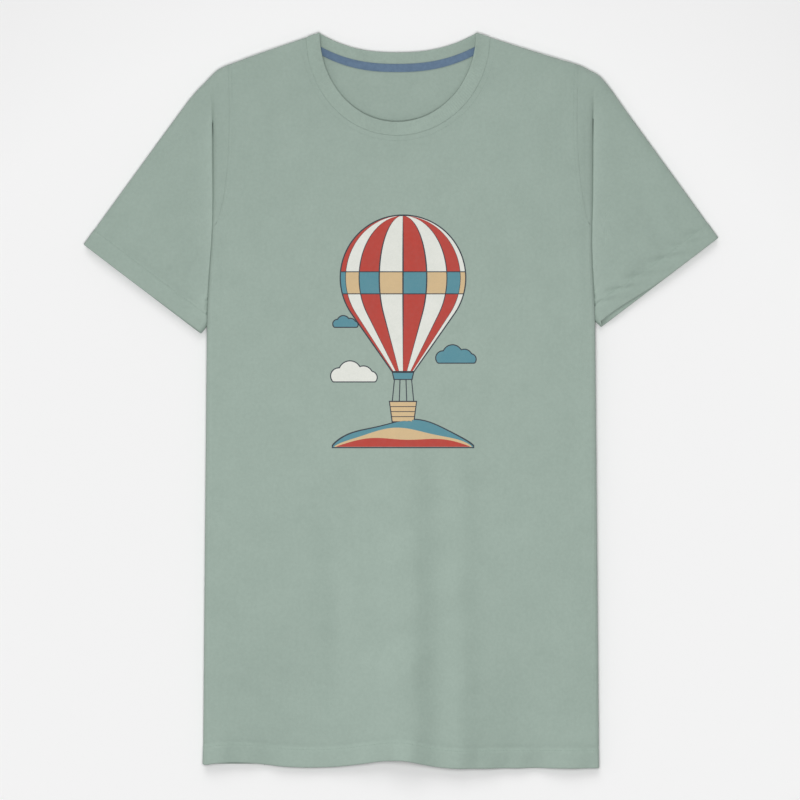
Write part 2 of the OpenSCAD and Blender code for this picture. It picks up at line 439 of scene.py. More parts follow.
    def fold_painted_shading(self, x: Array, y: Array) -> Array:
        """Painted light and shade on the front's folds: the share by which the cloth is paler on
        flanks that rise towards +X and darker on flanks that fall towards it.
        """
        slope = sum(f.slope(x, y) for f in FRONT_FOLDS)
        return self.painted_shading_most * np.tanh(self.painted_shading_rate * slope)

    def front_z(self, x: Array, y: Array) -> Array:
        """Height of the front's middle surface."""
        rise = roll(self.below_shoulder(x, y), self.roll_w)
        return mix(self.join_z + self.join_gap, self.front_top(x, y), rise)

    def back_top(self, x: Array, y: Array) -> Array:
        """Height of the back's middle surface, without the roll at the shoulder.

        Args:
            x: Places across the plan.
            y: Places up the plan.

        Returns:
            Heights in millimetres.
        """
        over = ease((np.abs(x) - self.half_w(y) + self.tuck_w + 30.0) / 26.0)
        raised = over * (1.0 - ease((y - self.cross_y - 4.0) / 50.0))
        nape = self.nape_rise * np.exp(-((self.off_neck(x, y) / self.nape_reach) ** 2))
        return mix(self.ply, self.strip_back_z(y) + 2.0 * self.back_fold_r, raised) + nape

    def back_z(self, x: Array, y: Array) -> Array:
        """Height of the back's middle surface."""
        rise = roll(self.below_shoulder(x, y), self.roll_w)
        return mix(self.join_z - self.join_gap, self.back_top(x, y), rise)

    def hem_line(self, x: Array) -> Array:
        """Bottom edge on the plan, drawn up where the cloth rises into folds."""
        middle = self.hem_draw * np.exp(-(((x + 2.0) / np.where(x > -2.0, 30.0, 48.0)) ** 2))
        return self.hem_y - 0.6 + middle + self.hem_draw_right * bell(x, -168.0, 45.0)

    def front_neck(self, t: Array) -> Array:
        """Seam of the neckband on the front, for turns from the middle in radians."""
        deep = self.seam_y - self.hsp_y + self.neck_drop + self.band_h
        return np.stack([self.band_hw * np.sin(t), self.seam_y - deep * np.cos(t)], axis=-1)

    def back_neck(self, t: Array) -> Array:
        """Seam of the neckband on the back.

        Args:
            t: Turns from the middle, in radians.

        Returns:
            X and Y on the last axis.
        """
        low = self.hsp_y - self.back_drop - self.nape_band
        y = mix(low, self.seam_y, np.abs(np.sin(t)) ** self.nape_power)
        return np.stack([self.band_hw * np.sin(t), y], axis=-1)

    def strip_top(self, t: Array) -> Array:
        """Upper end of the folded-under side, from the fold (0) to its inner edge (1)."""
        return self.cross_y - self.strip_drop * np.sin(0.5 * math.pi * t)

    def settle(self, p: Array) -> Array:
        """Shift points by the slight slant with which the shirt was laid.

        Args:
            p: Points, with X, Y and Z on the last axis.

        Returns:
            The shifted points.
        """
        q = np.array(p, float)
        x, y = q[..., 0], q[..., 1]
        neck = ease((y - 170.0) / 110.0) * np.clip(1.0 - (x / 170.0) ** 2, 0.0, 1.0)
        arms = ease((y - 120.0) / 90.0) * bell(np.abs(x), 180.0, 26.0)
        beside = ease((np.abs(x) - 184.0) / 16.0) * ease((y - 20.0) / 40.0)
        q[..., 0] = x - self.neck_shift * neck + self.arm_shift * arms
        q[..., 1] = y + self.arm_swing * np.sign(x) * beside
        return q


LAY = ShirtLay()


@dataclass(frozen=True)
class ClothGrid:
    """A grid of points on a cloth's middle surface, with its outward directions."""

    points: Array
    wrap: bool = False

    @cached_property
    def normals(self) -> Array:
        """Outward directions of the surface.

        Returns:
            A unit vector for each point.
        """
        p = self.points
        if self.wrap:
            across = np.roll(p, -1, axis=1) - np.roll(p, 1, axis=1)
        else:
            across = np.gradient(p, axis=1)
        n = np.cross(across, np.gradient(p, axis=0))
        return n / np.maximum(np.linalg.norm(n, axis=-1, keepdims=True), 1e-9)

    def moved(self, by: Array) -> "ClothGrid":
        """The same grid moved along its outward directions."""
        return ClothGrid(self.points + self.normals * by[..., None], self.wrap)


def lengths(points: Array, axis: int) -> Array:
    """Lengths along a grid of points, with one more that closes it.

    Args:
        points: Rows of points.
        axis: 1 for lengths along each row, 0 for lengths along each column.

    Returns:
        The length at each point from the first one.
    """
    first = np.take(points, [0], axis=axis)
    steps = np.linalg.norm(np.diff(points, axis=axis, append=first), axis=2)
    zero = np.zeros_like(np.take(steps, [0], axis=axis))
    return np.concatenate([zero, np.cumsum(steps, axis=axis)], axis=axis)


def cloth_mesh(
    name: str, points: Array, wrap: bool, flip: bool = False, close: bool = False,
    across: Array | None = None, painted_shading: Array | None = None,
) -> bpy.types.Mesh:
    """Mesh of quads over a grid of points, with a UV map in metres of cloth.

    Args:
        name: Name of the mesh.
        points: Rows of points in millimetres.
        wrap: Whether each row closes on itself.
        flip: Whether the faces are turned over.
        close: Whether the last row joins the first.
        across: Places across the cloth, where the columns of loops run up the plan.
        painted_shading: Painted light and shade, as the share by which the cloth is paler at each
            point.

    Returns:
        The mesh, in metres.
    """
    rows, cols = points.shape[:2]
    u, v = (lengths(points, 1), lengths(points, 0)) if across is None else (across, points[..., 1])
    j, i = np.meshgrid(
        np.arange(rows if close else rows - 1), np.arange(cols if wrap else cols - 1), indexing="ij"
    )
    j, i = j.ravel(), i.ravel()
    corner_j, corner_i = np.stack([j, j, j + 1, j + 1], 1), np.stack([i, i + 1, i + 1, i], 1)
    if flip:
        corner_j, corner_i = corner_j[:, ::-1], corner_i[:, ::-1]
    faces = (corner_j % rows) * cols + corner_i % cols
    mesh = bpy.data.meshes.new(name)
    mesh.from_pydata((points.reshape(-1, 3) * MM).tolist(), [], faces.tolist())
    uv = np.stack([u[corner_j % rows, corner_i], v[corner_j, corner_i % cols]], axis=-1)
    uv = (uv.reshape(-1) * MM).astype(np.float32)
    mesh.uv_layers.new(name=UV_NAME).data.foreach_set("uv", uv)
    # Painted light and shade, kept on the points for the knit's colour to read.
    if painted_shading is not None:
        shares = mesh.attributes.new(PAINTED_SHADING_NAME, "FLOAT", "POINT").data
        shares.foreach_set("value", painted_shading.astype(np.float32).ravel())
    smooth_sheet(mesh)
    return mesh


def smooth_sheet(mesh: bpy.types.Mesh) -> None:
    """Shade a sheet smoothly, and keep its shading apart from that of its rim.

    Args:
        mesh: The sheet's mesh.
    """
    mesh.polygons.foreach_set("use_smooth", np.ones(len(mesh.polygons), dtype=bool))
    mesh.update()
    edges = np.zeros(len(mesh.loops), dtype=np.int32)
    mesh.loops.foreach_get("edge_index", edges)
    rim = np.bincount(edges, minlength=len(mesh.edges)) == 1
    mesh.attributes.new("sharp_edge", "BOOLEAN", "EDGE").data.foreach_set("value", rim)


def hang(name: str, data: bpy.types.ID) -> bpy.types.Object:
    """Put a mesh, a lamp or a camera in the scene.

    Args:
        name: Name of the object.
        data: What it shows.

    Returns:
        The new object.
    """
    thing = bpy.data.objects.new(name, data)
    bpy.context.scene.collection.objects.link(thing)
    return thing


def add_piece(
    name: str, mesh: bpy.types.Mesh, material: bpy.types.Material
) -> bpy.types.Object:
    """Put a finished mesh in the scene as a piece of the shirt.

    Args:
        name: Name of the piece.
        mesh: Its mesh, in place.
        material: Its material.

    Returns:
        The new object, riding on the body.
    """
    piece = hang(name, mesh)
    mesh.materials.clear()
    mesh.materials.append(material)
    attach(piece, BODY)
    LOG.info("%s: %d faces", name, len(mesh.polygons))
    return piece


def thicken(piece: bpy.types.Object, thickness: float, offset: float = 0.0) -> None:
    """Give a sheet its thickness.

    Args:
        piece: The sheet.
        thickness: Its thickness in millimetres.
        offset: 0 for half on each side, -1 for all of it below.
    """
    solid = piece.modifiers.new("thickness", "SOLIDIFY")
    solid.thickness, solid.offset = thickness * MM, offset
    solid.use_even_offset = False


class Nodes:
    """Short hand for building a node tree."""

    def __init__(self, tree: bpy.types.NodeTree) -> None:
        """Keep the tree."""
        self.tree = tree

    def add(self, kind: str, **inputs: object) -> bpy.types.Node:
        """Add a node and set its inputs by name, with underscores for blanks.

        Args:
            kind: The node's type.
            **inputs: Values or sockets for its inputs.

        Returns:
            The node.
        """
        node = self.tree.nodes.new(kind)
        for key, value in inputs.items():
            self.put(node.inputs[key.replace("_", " ")], value)
        return node

    def put(self, socket: bpy.types.NodeSocket, value: object) -> None:
        """Set a socket, or link it where the value is a socket.

        Args:
            socket: The input.
            value: A value or another node's socket.
        """
        if isinstance(value, bpy.types.NodeSocket):
            self.tree.links.new(value, socket)
        else:
            socket.default_value = value

    def math(
        self, operation: str, a: object, b: object = 0.0, c: object = 0.0
    ) -> bpy.types.NodeSocket:
        """Result of a Math node.

        Args:
            operation: The node's operation.
            a: First value or socket.
            b: Second value or socket.
            c: Third value or socket.

        Returns:
            The socket with the result.
        """
        node = self.tree.nodes.new("ShaderNodeMath")
        node.operation = operation
        for socket, value in zip(node.inputs, (a, b, c)):
            self.put(socket, value)
        return node.outputs[0]

    def blend(self, share: object, a: object, b: object) -> bpy.types.NodeSocket:
        """Colour between two colours.

        Args:
            share: Share of the second colour, which may go past 0 and 1.
            a: First colour or socket.
            b: Second colour or socket.

        Returns:
            The socket with the result.
        """
        node = self.tree.nodes.new("ShaderNodeMix")
        node.data_type, node.clamp_factor = "RGBA", False
        for key, value in (("Factor_Float", share), ("A_Color", a), ("B_Color", b)):
            self.put(next(s for s in node.inputs if s.identifier == key), value)
        return next(s for s in node.outputs if s.identifier == "Result_Color")

    def noise(
        self, where: bpy.types.NodeSocket, scale: float, detail: float, low: float, high: float
    ) -> bpy.types.NodeSocket:
        """Noise spread over a range.

        Args:
            where: Coordinates.
            scale: Scale of the noise.
            detail: Octaves of the noise.
            low: Result for the noise's low values.
            high: Result for the noise's high values.

        Returns:
            The socket with the result.
        """
        node = self.add(
            "ShaderNodeTexNoise", Vector=where, Scale=scale, Detail=detail, Roughness=0.55
        )
        spread = self.add("ShaderNodeMapRange", Value=node.outputs[0])
        for key, value in (("From Min", 0.3), ("From Max", 0.7), ("To Min", low), ("To Max", high)):
            spread.inputs[key].default_value = value
        return spread.outputs[0]

    def cloth_place(self) -> tuple[bpy.types.NodeSocket, bpy.types.NodeSocket]:
        """Places across and along the cloth, from its UV map.

        Returns:
            The sockets with both, in metres.
        """
        uv = self.add("ShaderNodeUVMap")
        uv.uv_map = UV_NAME
        split = self.add("ShaderNodeSeparateXYZ", Vector=uv.outputs[0])
        return split.outputs[0], split.outputs[1]

    def dress(
        self, shader: bpy.types.Node, colours: tuple[Colour, Colour], share: object,
        rough: object, bump: bpy.types.Node, gloss: float,
    ) -> None:
        """Give a shader its colour, roughness, relief and gloss.

        Args:
            shader: The Principled shader.
            colours: The two colours that it mixes.
            share: Share of the second colour.
            rough: Roughness.
            bump: The node with its relief.
            gloss: Strength of its highlights.
        """
        tone = self.blend(share, linear(colours[0]), linear(colours[1]))
        self.put(shader.inputs["Base Color"], tone)
        self.put(shader.inputs["Roughness"], rough)
        self.put(shader.inputs["Normal"], bump.outputs[0])
        shader.inputs["Specular IOR Level"].default_value = gloss


def new_material(name: str) -> tuple[bpy.types.Material, Nodes, bpy.types.Node]:
    """Empty material with a Principled shader.

    Args:
        name: Name of the material.

    Returns:
        The material, its nodes and the shader.
    """
    material = bpy.data.materials.new(name)
    material.use_nodes = True
    nodes = Nodes(material.node_tree)
    shader = next(n for n in material.node_tree.nodes if n.type == "BSDF_PRINCIPLED")
    return material, nodes, shader


@dataclass(frozen=True)
class KnitFinish:
    """A knitted cloth with columns of loops that follow its UV map."""

    name: str
    colour: Colour
    deep: Colour
    wale: float
    course: float
    relief: float
    sheen: float
    mottle: float = 0.5

    def material(self) -> bpy.types.Material:
        """Make the material.

        Returns:
            The new material.
        """
        material, nodes, shader = new_material(self.name)
        u, v = nodes.cloth_place()
        place = nodes.add("ShaderNodeTexCoord").outputs["Object"]
        wales = nodes.math("MULTIPLY", u, math.pi / (self.wale * MM))
        column = nodes.math("ABSOLUTE", nodes.math("SINE", wales))
        rows = nodes.math("MULTIPLY", v, 2.0 * math.pi / (self.course * MM))
        loop = nodes.math("SINE", nodes.math("MULTIPLY_ADD", column, 2.4, rows))
        knit = nodes.math("MULTIPLY_ADD", loop, 0.35, column)
        fuzz = nodes.noise(place, 900.0, 2.0, -0.5, 0.5)
        height = nodes.math("ADD", knit, fuzz)
        bump = nodes.add("ShaderNodeBump", Height=height, Strength=0.5, Distance=self.relief * MM)
        fine = nodes.noise(place, 330.0, 3.0, 0.1, 0.1 + self.mottle)
        broad = nodes.noise(place, 40.0, 2.0, 0.0, 0.3)
        # Painted shade: the colour is darker in the grooves between the columns of loops.
        groove_painted_shade = nodes.math("MULTIPLY", nodes.math("SUBTRACT", 1.0, column), 0.25)
        # Painted light and shade from the point attribute: paler above 0, darker below 0.
        painted_shading = nodes.add("ShaderNodeAttribute")
        painted_shading.attribute_name = PAINTED_SHADING_NAME
        dark = nodes.math("ADD", nodes.math("ADD", fine, broad), groove_painted_shade)
        share = nodes.math("SUBTRACT", dark, painted_shading.outputs["Fac"])
        rough = nodes.noise(place, 200.0, 2.0, 0.86, 0.97)
        nodes.dress(shader, (self.colour, self.deep), share, rough, bump, 0.15)
        shader.inputs["Sheen Weight"].default_value = self.sheen
        shader.inputs["Sheen Roughness"].default_value = 0.6
        return material


@dataclass(frozen=True)
class TwillFinish:
    """A woven tape with a slanting rib."""

    name: str
    colour: Colour
    deep: Colour
    pitch: float

    def material(self) -> bpy.types.Material:
        """Make the material.

        Returns:
            The new material.
        """
        material, nodes, shader = new_material(self.name)
        place = nodes.add("ShaderNodeTexCoord").outputs["Object"]
        slant = nodes.math("ADD", *nodes.cloth_place())
        rib = nodes.math("SINE", nodes.math("MULTIPLY", slant, 2.0 * math.pi / (self.pitch * MM)))
        bump = nodes.add("ShaderNodeBump", Height=rib, Strength=0.6, Distance=0.12 * MM)
        share = nodes.math("MULTIPLY_ADD", rib, 0.2, nodes.noise(place, 260.0, 2.0, 0.2, 0.7))
        rough = nodes.noise(place, 180.0, 2.0, 0.75, 0.9)
        nodes.dress(shader, (self.colour, self.deep), share, rough, bump, 0.2)
        return material


@dataclass(frozen=True)
class ThreadFinish:
    """Sewing thread with a faint twist."""

    name: str
    colour: Colour
    deep: Colour

    def material(self) -> bpy.types.Material:
        """Make the material.

        Returns:
            The new material.
        """
        material, nodes, shader = new_material(self.name)
        place = nodes.add("ShaderNodeTexCoord").outputs["Object"]
        twist = nodes.noise(place, 1400.0, 1.0, 0.0, 1.0)
        bump = nodes.add("ShaderNodeBump", Height=twist, Strength=0.4, Distance=0.08 * MM)
        rough = nodes.noise(place, 500.0, 1.0, 0.55, 0.75)
        nodes.dress(shader, (self.colour, self.deep), twist, rough, bump, 0.3)
        return material


@dataclass(frozen=True)
class InkFinish:
    """Screen-print ink that sinks a little into the knit."""

    name: str
    colour: Colour
    worn: Colour

    def material(self) -> bpy.types.Material:
        """Make the material.

        Returns:
            The new material.
        """
        material, nodes, shader = new_material(self.name)
        place = nodes.add("ShaderNodeTexCoord").outputs["Object"]
        grain = nodes.noise(place, 700.0, 3.0, 0.0, 0.45)
        patch = nodes.noise(place, 60.0, 2.0, 0.0, 0.35)
        share = nodes.math("ADD", grain, patch)
        bump = nodes.add("ShaderNodeBump", Height=grain, Strength=0.35, Distance=0.12 * MM)
        rough = nodes.noise(place, 240.0, 2.0, 0.6, 0.8)
        nodes.dress(shader, (self.colour, self.worn), share, rough, bump, 0.25)
        return material


class Finishes:
    """The shirt's materials, each made once."""

    def __init__(self) -> None:
        """Make every material."""
        self.jersey = KnitFinish(
            "sage_jersey", (162, 179, 169), (152, 169, 159), 1.15, 0.85, 0.14, 0.12
        ).material()
        self.rib = KnitFinish(
            "sage_rib", (165, 183, 172), (154, 171, 161), 0.9, 0.75, 0.12, 0.12
        ).material()
        self.tape = TwillFinish("slate_tape", (112, 136, 161), (94, 116, 141), 1.0).material()
        self.thread = ThreadFinish("sage_thread", (160, 177, 167), (140, 157, 147)).material()
        self.tape_thread = ThreadFinish("slate_thread", (122, 142, 162), (98, 118, 140)).material()
        self.inks = {
            name: InkFinish(f"ink_{name}", colour, worn).material()
            for name, colour, worn in (
                ("dark", (52, 58, 66), (68, 75, 82)),
                ("red", (186, 66, 56), (172, 74, 66)),
                ("white", (228, 229, 222), (214, 217, 209)),
                ("teal", (84, 138, 152), (96, 144, 154)),
                ("sand", (212, 184, 140), (200, 176, 138)),
            )
        }


@dataclass
class BodyPanel:
    """The front or back of the body, with its turned hem, folded under at both sides."""

    layer: Layer
    neck_steps: int = 26
    shoulder_steps: int = 15
    armhole_steps: int = 24
    fold_steps: int = 12
    strip_steps: int = 8
    middle_rows: int = 150
    neck_share: float = 0.85
    shoulder_share: float = 0.74
    hem_rise: float = 0.6
    hem_groove: float = 0.3
    hem_dip: float = 0.5
    hem_pucker: float = 0.3
    hem_wave: float = 1.7
    back_groove: float = 0.25

    HEM_D = (
        0.0, 0.12, 0.45, 1.2, 3.0, 6.0, 9.0, 11.5, 12.4, 13.0, 13.6,
        14.5, 15.6, 16.6, 17.2, 17.8, 18.6, 19.6, 20.8, 22.2, 24.0, 27.0,
    )
    STITCH_D = 17.2
    TOP_E = (30.0, 25.0, 20.0, 16.0, 12.5, 9.5, 7.0, 5.2, 3.9, 2.9, 2.1, 1.4, 0.8, 0.35, 0.0)
    TURN_ROWS = (16, 12, 8, 5, 3)
    LIP = ((2, 0.94), (1, 0.8), (0, 0.5), (1, 0.2), (2, 0.06))

    def columns(self) -> dict[str, Array]:
        """Columns of the panel from its right folded side to its left one.

        Returns:
            For each column its side, kind (0 top, 1 fold, 2 folded under), share along that kind,
            upper end and place on the hem.
        """
        lay, front = LAY, self.layer is Layer.FRONT
        neck_x, inner_x = self.neck_share * lay.band_hw, self.shoulder_share * lay.shoulder_p[0]
        edge_x = lay.hem_w / 2.0 - lay.edge_h / 2.0 - (0.0 if front else lay.back_inset)
        turn = np.linspace(0.0, 1.0, self.neck_steps + 1)
        turn = mix(0.5 * math.pi * turn, np.arcsin(turn), 0.5)
        neck = (lay.front_neck if front else lay.back_neck)(turn)
        k = np.arange(1, self.shoulder_steps + 1)[:, None] / self.shoulder_steps
        shoulder = mix(np.array([lay.band_hw, lay.seam_y]), lay.shoulder_p, k)
        a = np.arange(1, self.armhole_steps) / self.armhole_steps
        top = np.concatenate([neck, shoulder, lay.armhole(a)])
        hem_x = np.concatenate([
            self.neck_share * neck[:, 0], mix(neck_x, inner_x, k[:, 0]), mix(inner_x, edge_x, a)
        ])
        fold = np.linspace(0.0, 1.0, self.fold_steps)
        strip = np.arange(1, self.strip_steps + 1) / self.strip_steps
        first = lay.front_turn if front else lay.back_turn
        folded_y = [lay.strip_top(first * fold), lay.strip_top(mix(first, 1.0, strip))]
        n, m = len(top), len(fold) + len(strip)
        half = {
            "kind": np.concatenate([np.zeros(n), np.ones(len(fold)), np.full(len(strip), 2.0)]),
            "share": np.concatenate([np.zeros(n), fold, strip]),
            "upper_x": np.concatenate([top[:, 0], np.zeros(m)]),
            "upper_y": np.concatenate([top[:, 1], *folded_y]),
            "hem_x": np.concatenate([hem_x, np.full(m, lay.hem_w / 2.0)]),
            "neck": np.concatenate([ease(np.cos(turn) / 0.45), np.zeros(n + m - len(neck))]),
        }
        both = {key: np.concatenate([v[:0:-1], v]) for key, v in half.items()}
        both["sign"] = np.concatenate([-np.ones(n + m - 1), np.ones(n + m)])
        return both

    def surface(self) -> tuple[ClothGrid, Array]:
        """Grid of the panel's outer layer, from the hem upwards.

        Returns:
            The grid, and the places of its points across the cloth.
        """
        lay, c, front = LAY, self.columns(), self.layer is Layer.FRONT
        sign, kind, share = c["sign"], c["kind"], c["share"]
        hem_y = lay.hem_line(sign * c["hem_x"]) + (0.0 if front else lay.back_short)
        across_x = np.where(kind == 0, c["upper_x"] - c["hem_x"], 0.0)
        length = np.hypot(across_x, c["upper_y"] - hem_y)
        low = np.array(self.HEM_D)[:, None] / length
        high = 1.0 - np.array(self.TOP_E)[:, None] / length
        k = np.arange(1, self.middle_rows)[:, None] / self.middle_rows
        b = np.concatenate([low, mix(low[-1], high[0], k), high])
        x, y = mix(c["hem_x"], c["upper_x"], b), mix(hem_y, c["upper_y"], b)
        if front:
            r, edge = lay.fold_r(y), lay.edge_z(y)
            top_z, out = lay.front_z(sign * x, y), lay.half_w(y)
            power = mix(lay.fold_square, 2.0, ease((y - 60.0) / 60.0))
            fold_x = out - r + r * squared(np.sin(math.pi * share), power)
            fold_z = edge - r + r * squared(np.cos(math.pi * share), power)
            under_x, under_z = out - mix(r, lay.tuck_w, share), lay.strip_front_z(y)
        else:
            r, out = lay.back_fold_r, lay.half_w(y) - lay.back_inset
            top_z, low_z = lay.back_z(x, y), lay.strip_back_z(y)
            fold_x = out - r + r * np.sin(math.pi * share)
            fold_z = low_z + r + r * np.cos(math.pi * share)
            under_x, under_z = lay.half_w(y) - mix(lay.back_inset + r, lay.tuck_w, share), low_z
        turned_u = out + (math.pi - 2.0) * r * np.where(kind == 2, 1.0, share) - r
        across = np.where(kind == 0, x, turned_u + np.where(kind == 2, out - under_x - r, 0.0))
        x = np.where(kind == 0, x, np.where(kind == 1, fold_x, under_x))
        z = np.where(kind == 0, top_z, np.where(kind == 1, fold_z, under_z))
        grid = ClothGrid(np.stack([sign * x, y, z], axis=-1))
        relief = self.relief(c, b * length, (1.0 - b) * length, sign * x, y)
        return grid.moved(relief * self.layer.value), sign * across

    def relief(self, c: dict[str, Array], d: Array, e: Array, x: Array, y: Array) -> Array:
        """Small relief of seams and stitch lines, along the outward direction.

        Args:
            c: The panel's columns.
            d: Distances from the hem.
            e: Distances from the upper edge.
            x: Places across the plan.
            y: Places up the plan.

        Returns:
            Heights in millimetres.
        """
        lay = LAY
        if self.layer is Layer.BACK:
            return -self.back_groove * bell(d, self.STITCH_D, 0.75)
        facing_up = np.clip(np.cos(math.pi * c["share"]), 0, 1)
        upper = np.where(c["kind"] == 0, 1.0, np.where(c["kind"] == 1, facing_up, 0))
        hem = self.hem_rise * ease((lay.hem_h + 0.4 - d) / 1.6)
        hem = hem - self.hem_groove * bell(d, self.STITCH_D, 0.8)
        hem = hem - self.hem_dip * bell(d, 20.4, 2.2)
        hem = hem + self.hem_pucker * ripple(x, 11, 30.0, 8.0) * bell(d, 13.0, 9.0)
        wave = self.hem_wave * ripple(x, 12, 95.0, 30.0)
        hem = upper * (hem + wave * np.clip(1.0 - d / 20.0, 0.0, 1.0))
        neck = c["neck"] * (0.15 * bell(e, 2.4, 2.2) - 0.06 * bell(e, 5.2, 0.9))
        gap = lay.armhole_x(y) - np.abs(x)
        seam = np.where(x > 0.0, 0.18, 0.4) * (bell(gap, 2.0, 1.6) - 0.5 * bell(gap, 0.0, 0.9))
        seam = seam * (c["kind"] == 0) * ease((y - lay.cross_y - 1.0) / 10.0)
        return hem + neck + seam

    def hem_row(self, distance: float) -> tuple[Array, Array]:
        """A line along the hem on the outer face.

        Args:
            distance: Distance from the hem's edge.

        Returns:
            Points and outward directions.
        """
        grid, _ = self.surface()
        row = int(np.argmin(np.abs(np.array(self.HEM_D) - distance)))
        out = grid.normals[row] * self.layer.value
        lift = np.where(out[:, 2] > 0.0, LAY.ply + 0.02, LAY.ply - 0.3)[:, None]
        return LAY.settle(grid.points[row] + out * lift), out

    def build(self, finishes: Finishes) -> bpy.types.Object:
        """Make the panel with its turned hem.

        Args:
            finishes: The shirt's materials.

        Returns:
            The piece.
        """
        grid, across = self.surface()
        inside = -LAY.turn_gap * self.layer.value
        rows = [(r, 1.0) for r in self.TURN_ROWS] + list(self.LIP)
        turned = np.stack([grid.points[r] + grid.normals[r] * inside * share for r, share in rows])
        lip = np.array([share * (1.0 - share) * 4.0 if r < 3 else 0.0 for r, share in rows])
        turned[..., 1] -= 0.15 * lip[:, None]
        plain = np.concatenate([turned, grid.points[3:]])
        word = self.layer.name.lower()
        across = np.concatenate([across[[r for r, _ in rows]], across[3:]])
        # The front's cloth carries the painted light and shade of its folds; the back's carries
        # none.
        mesh = cloth_mesh(
            f"{word}_cloth", LAY.settle(plain), wrap=False, flip=self.layer is Layer.BACK,
            across=across,
            painted_shading=LAY.fold_painted_shading(plain[..., 0], plain[..., 1]) * (self.layer is Layer.FRONT),
        )
        piece = add_piece(f"{word}_cloth", mesh, finishes.jersey)
        thicken(piece, LAY.sheet_t)
        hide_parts(f"{word}_panel", f"{word}_hem")
        return piece


@dataclass(frozen=True)
class SleeveLay:
    """How one sleeve lies: its folds, the height of its hem and its puckers."""

    fold_seed: int
    fold_share: float
    hem_pull: float
    hem_z: float
    hem_press: float
    back_lift: float
    pucker_seed: int
    pucker: float
    hem_dip: float


SLEEVE_LAYS = {
    Side.LEFT: SleeveLay(21, 1.25, 5.0, 7.0, 0.9, 3.9, 31, 0.95, 0.6),
    Side.RIGHT: SleeveLay(24, 0.85, 1.0, 8.6, 0.7, 4.8, 33, 0.35, 1.0),
}


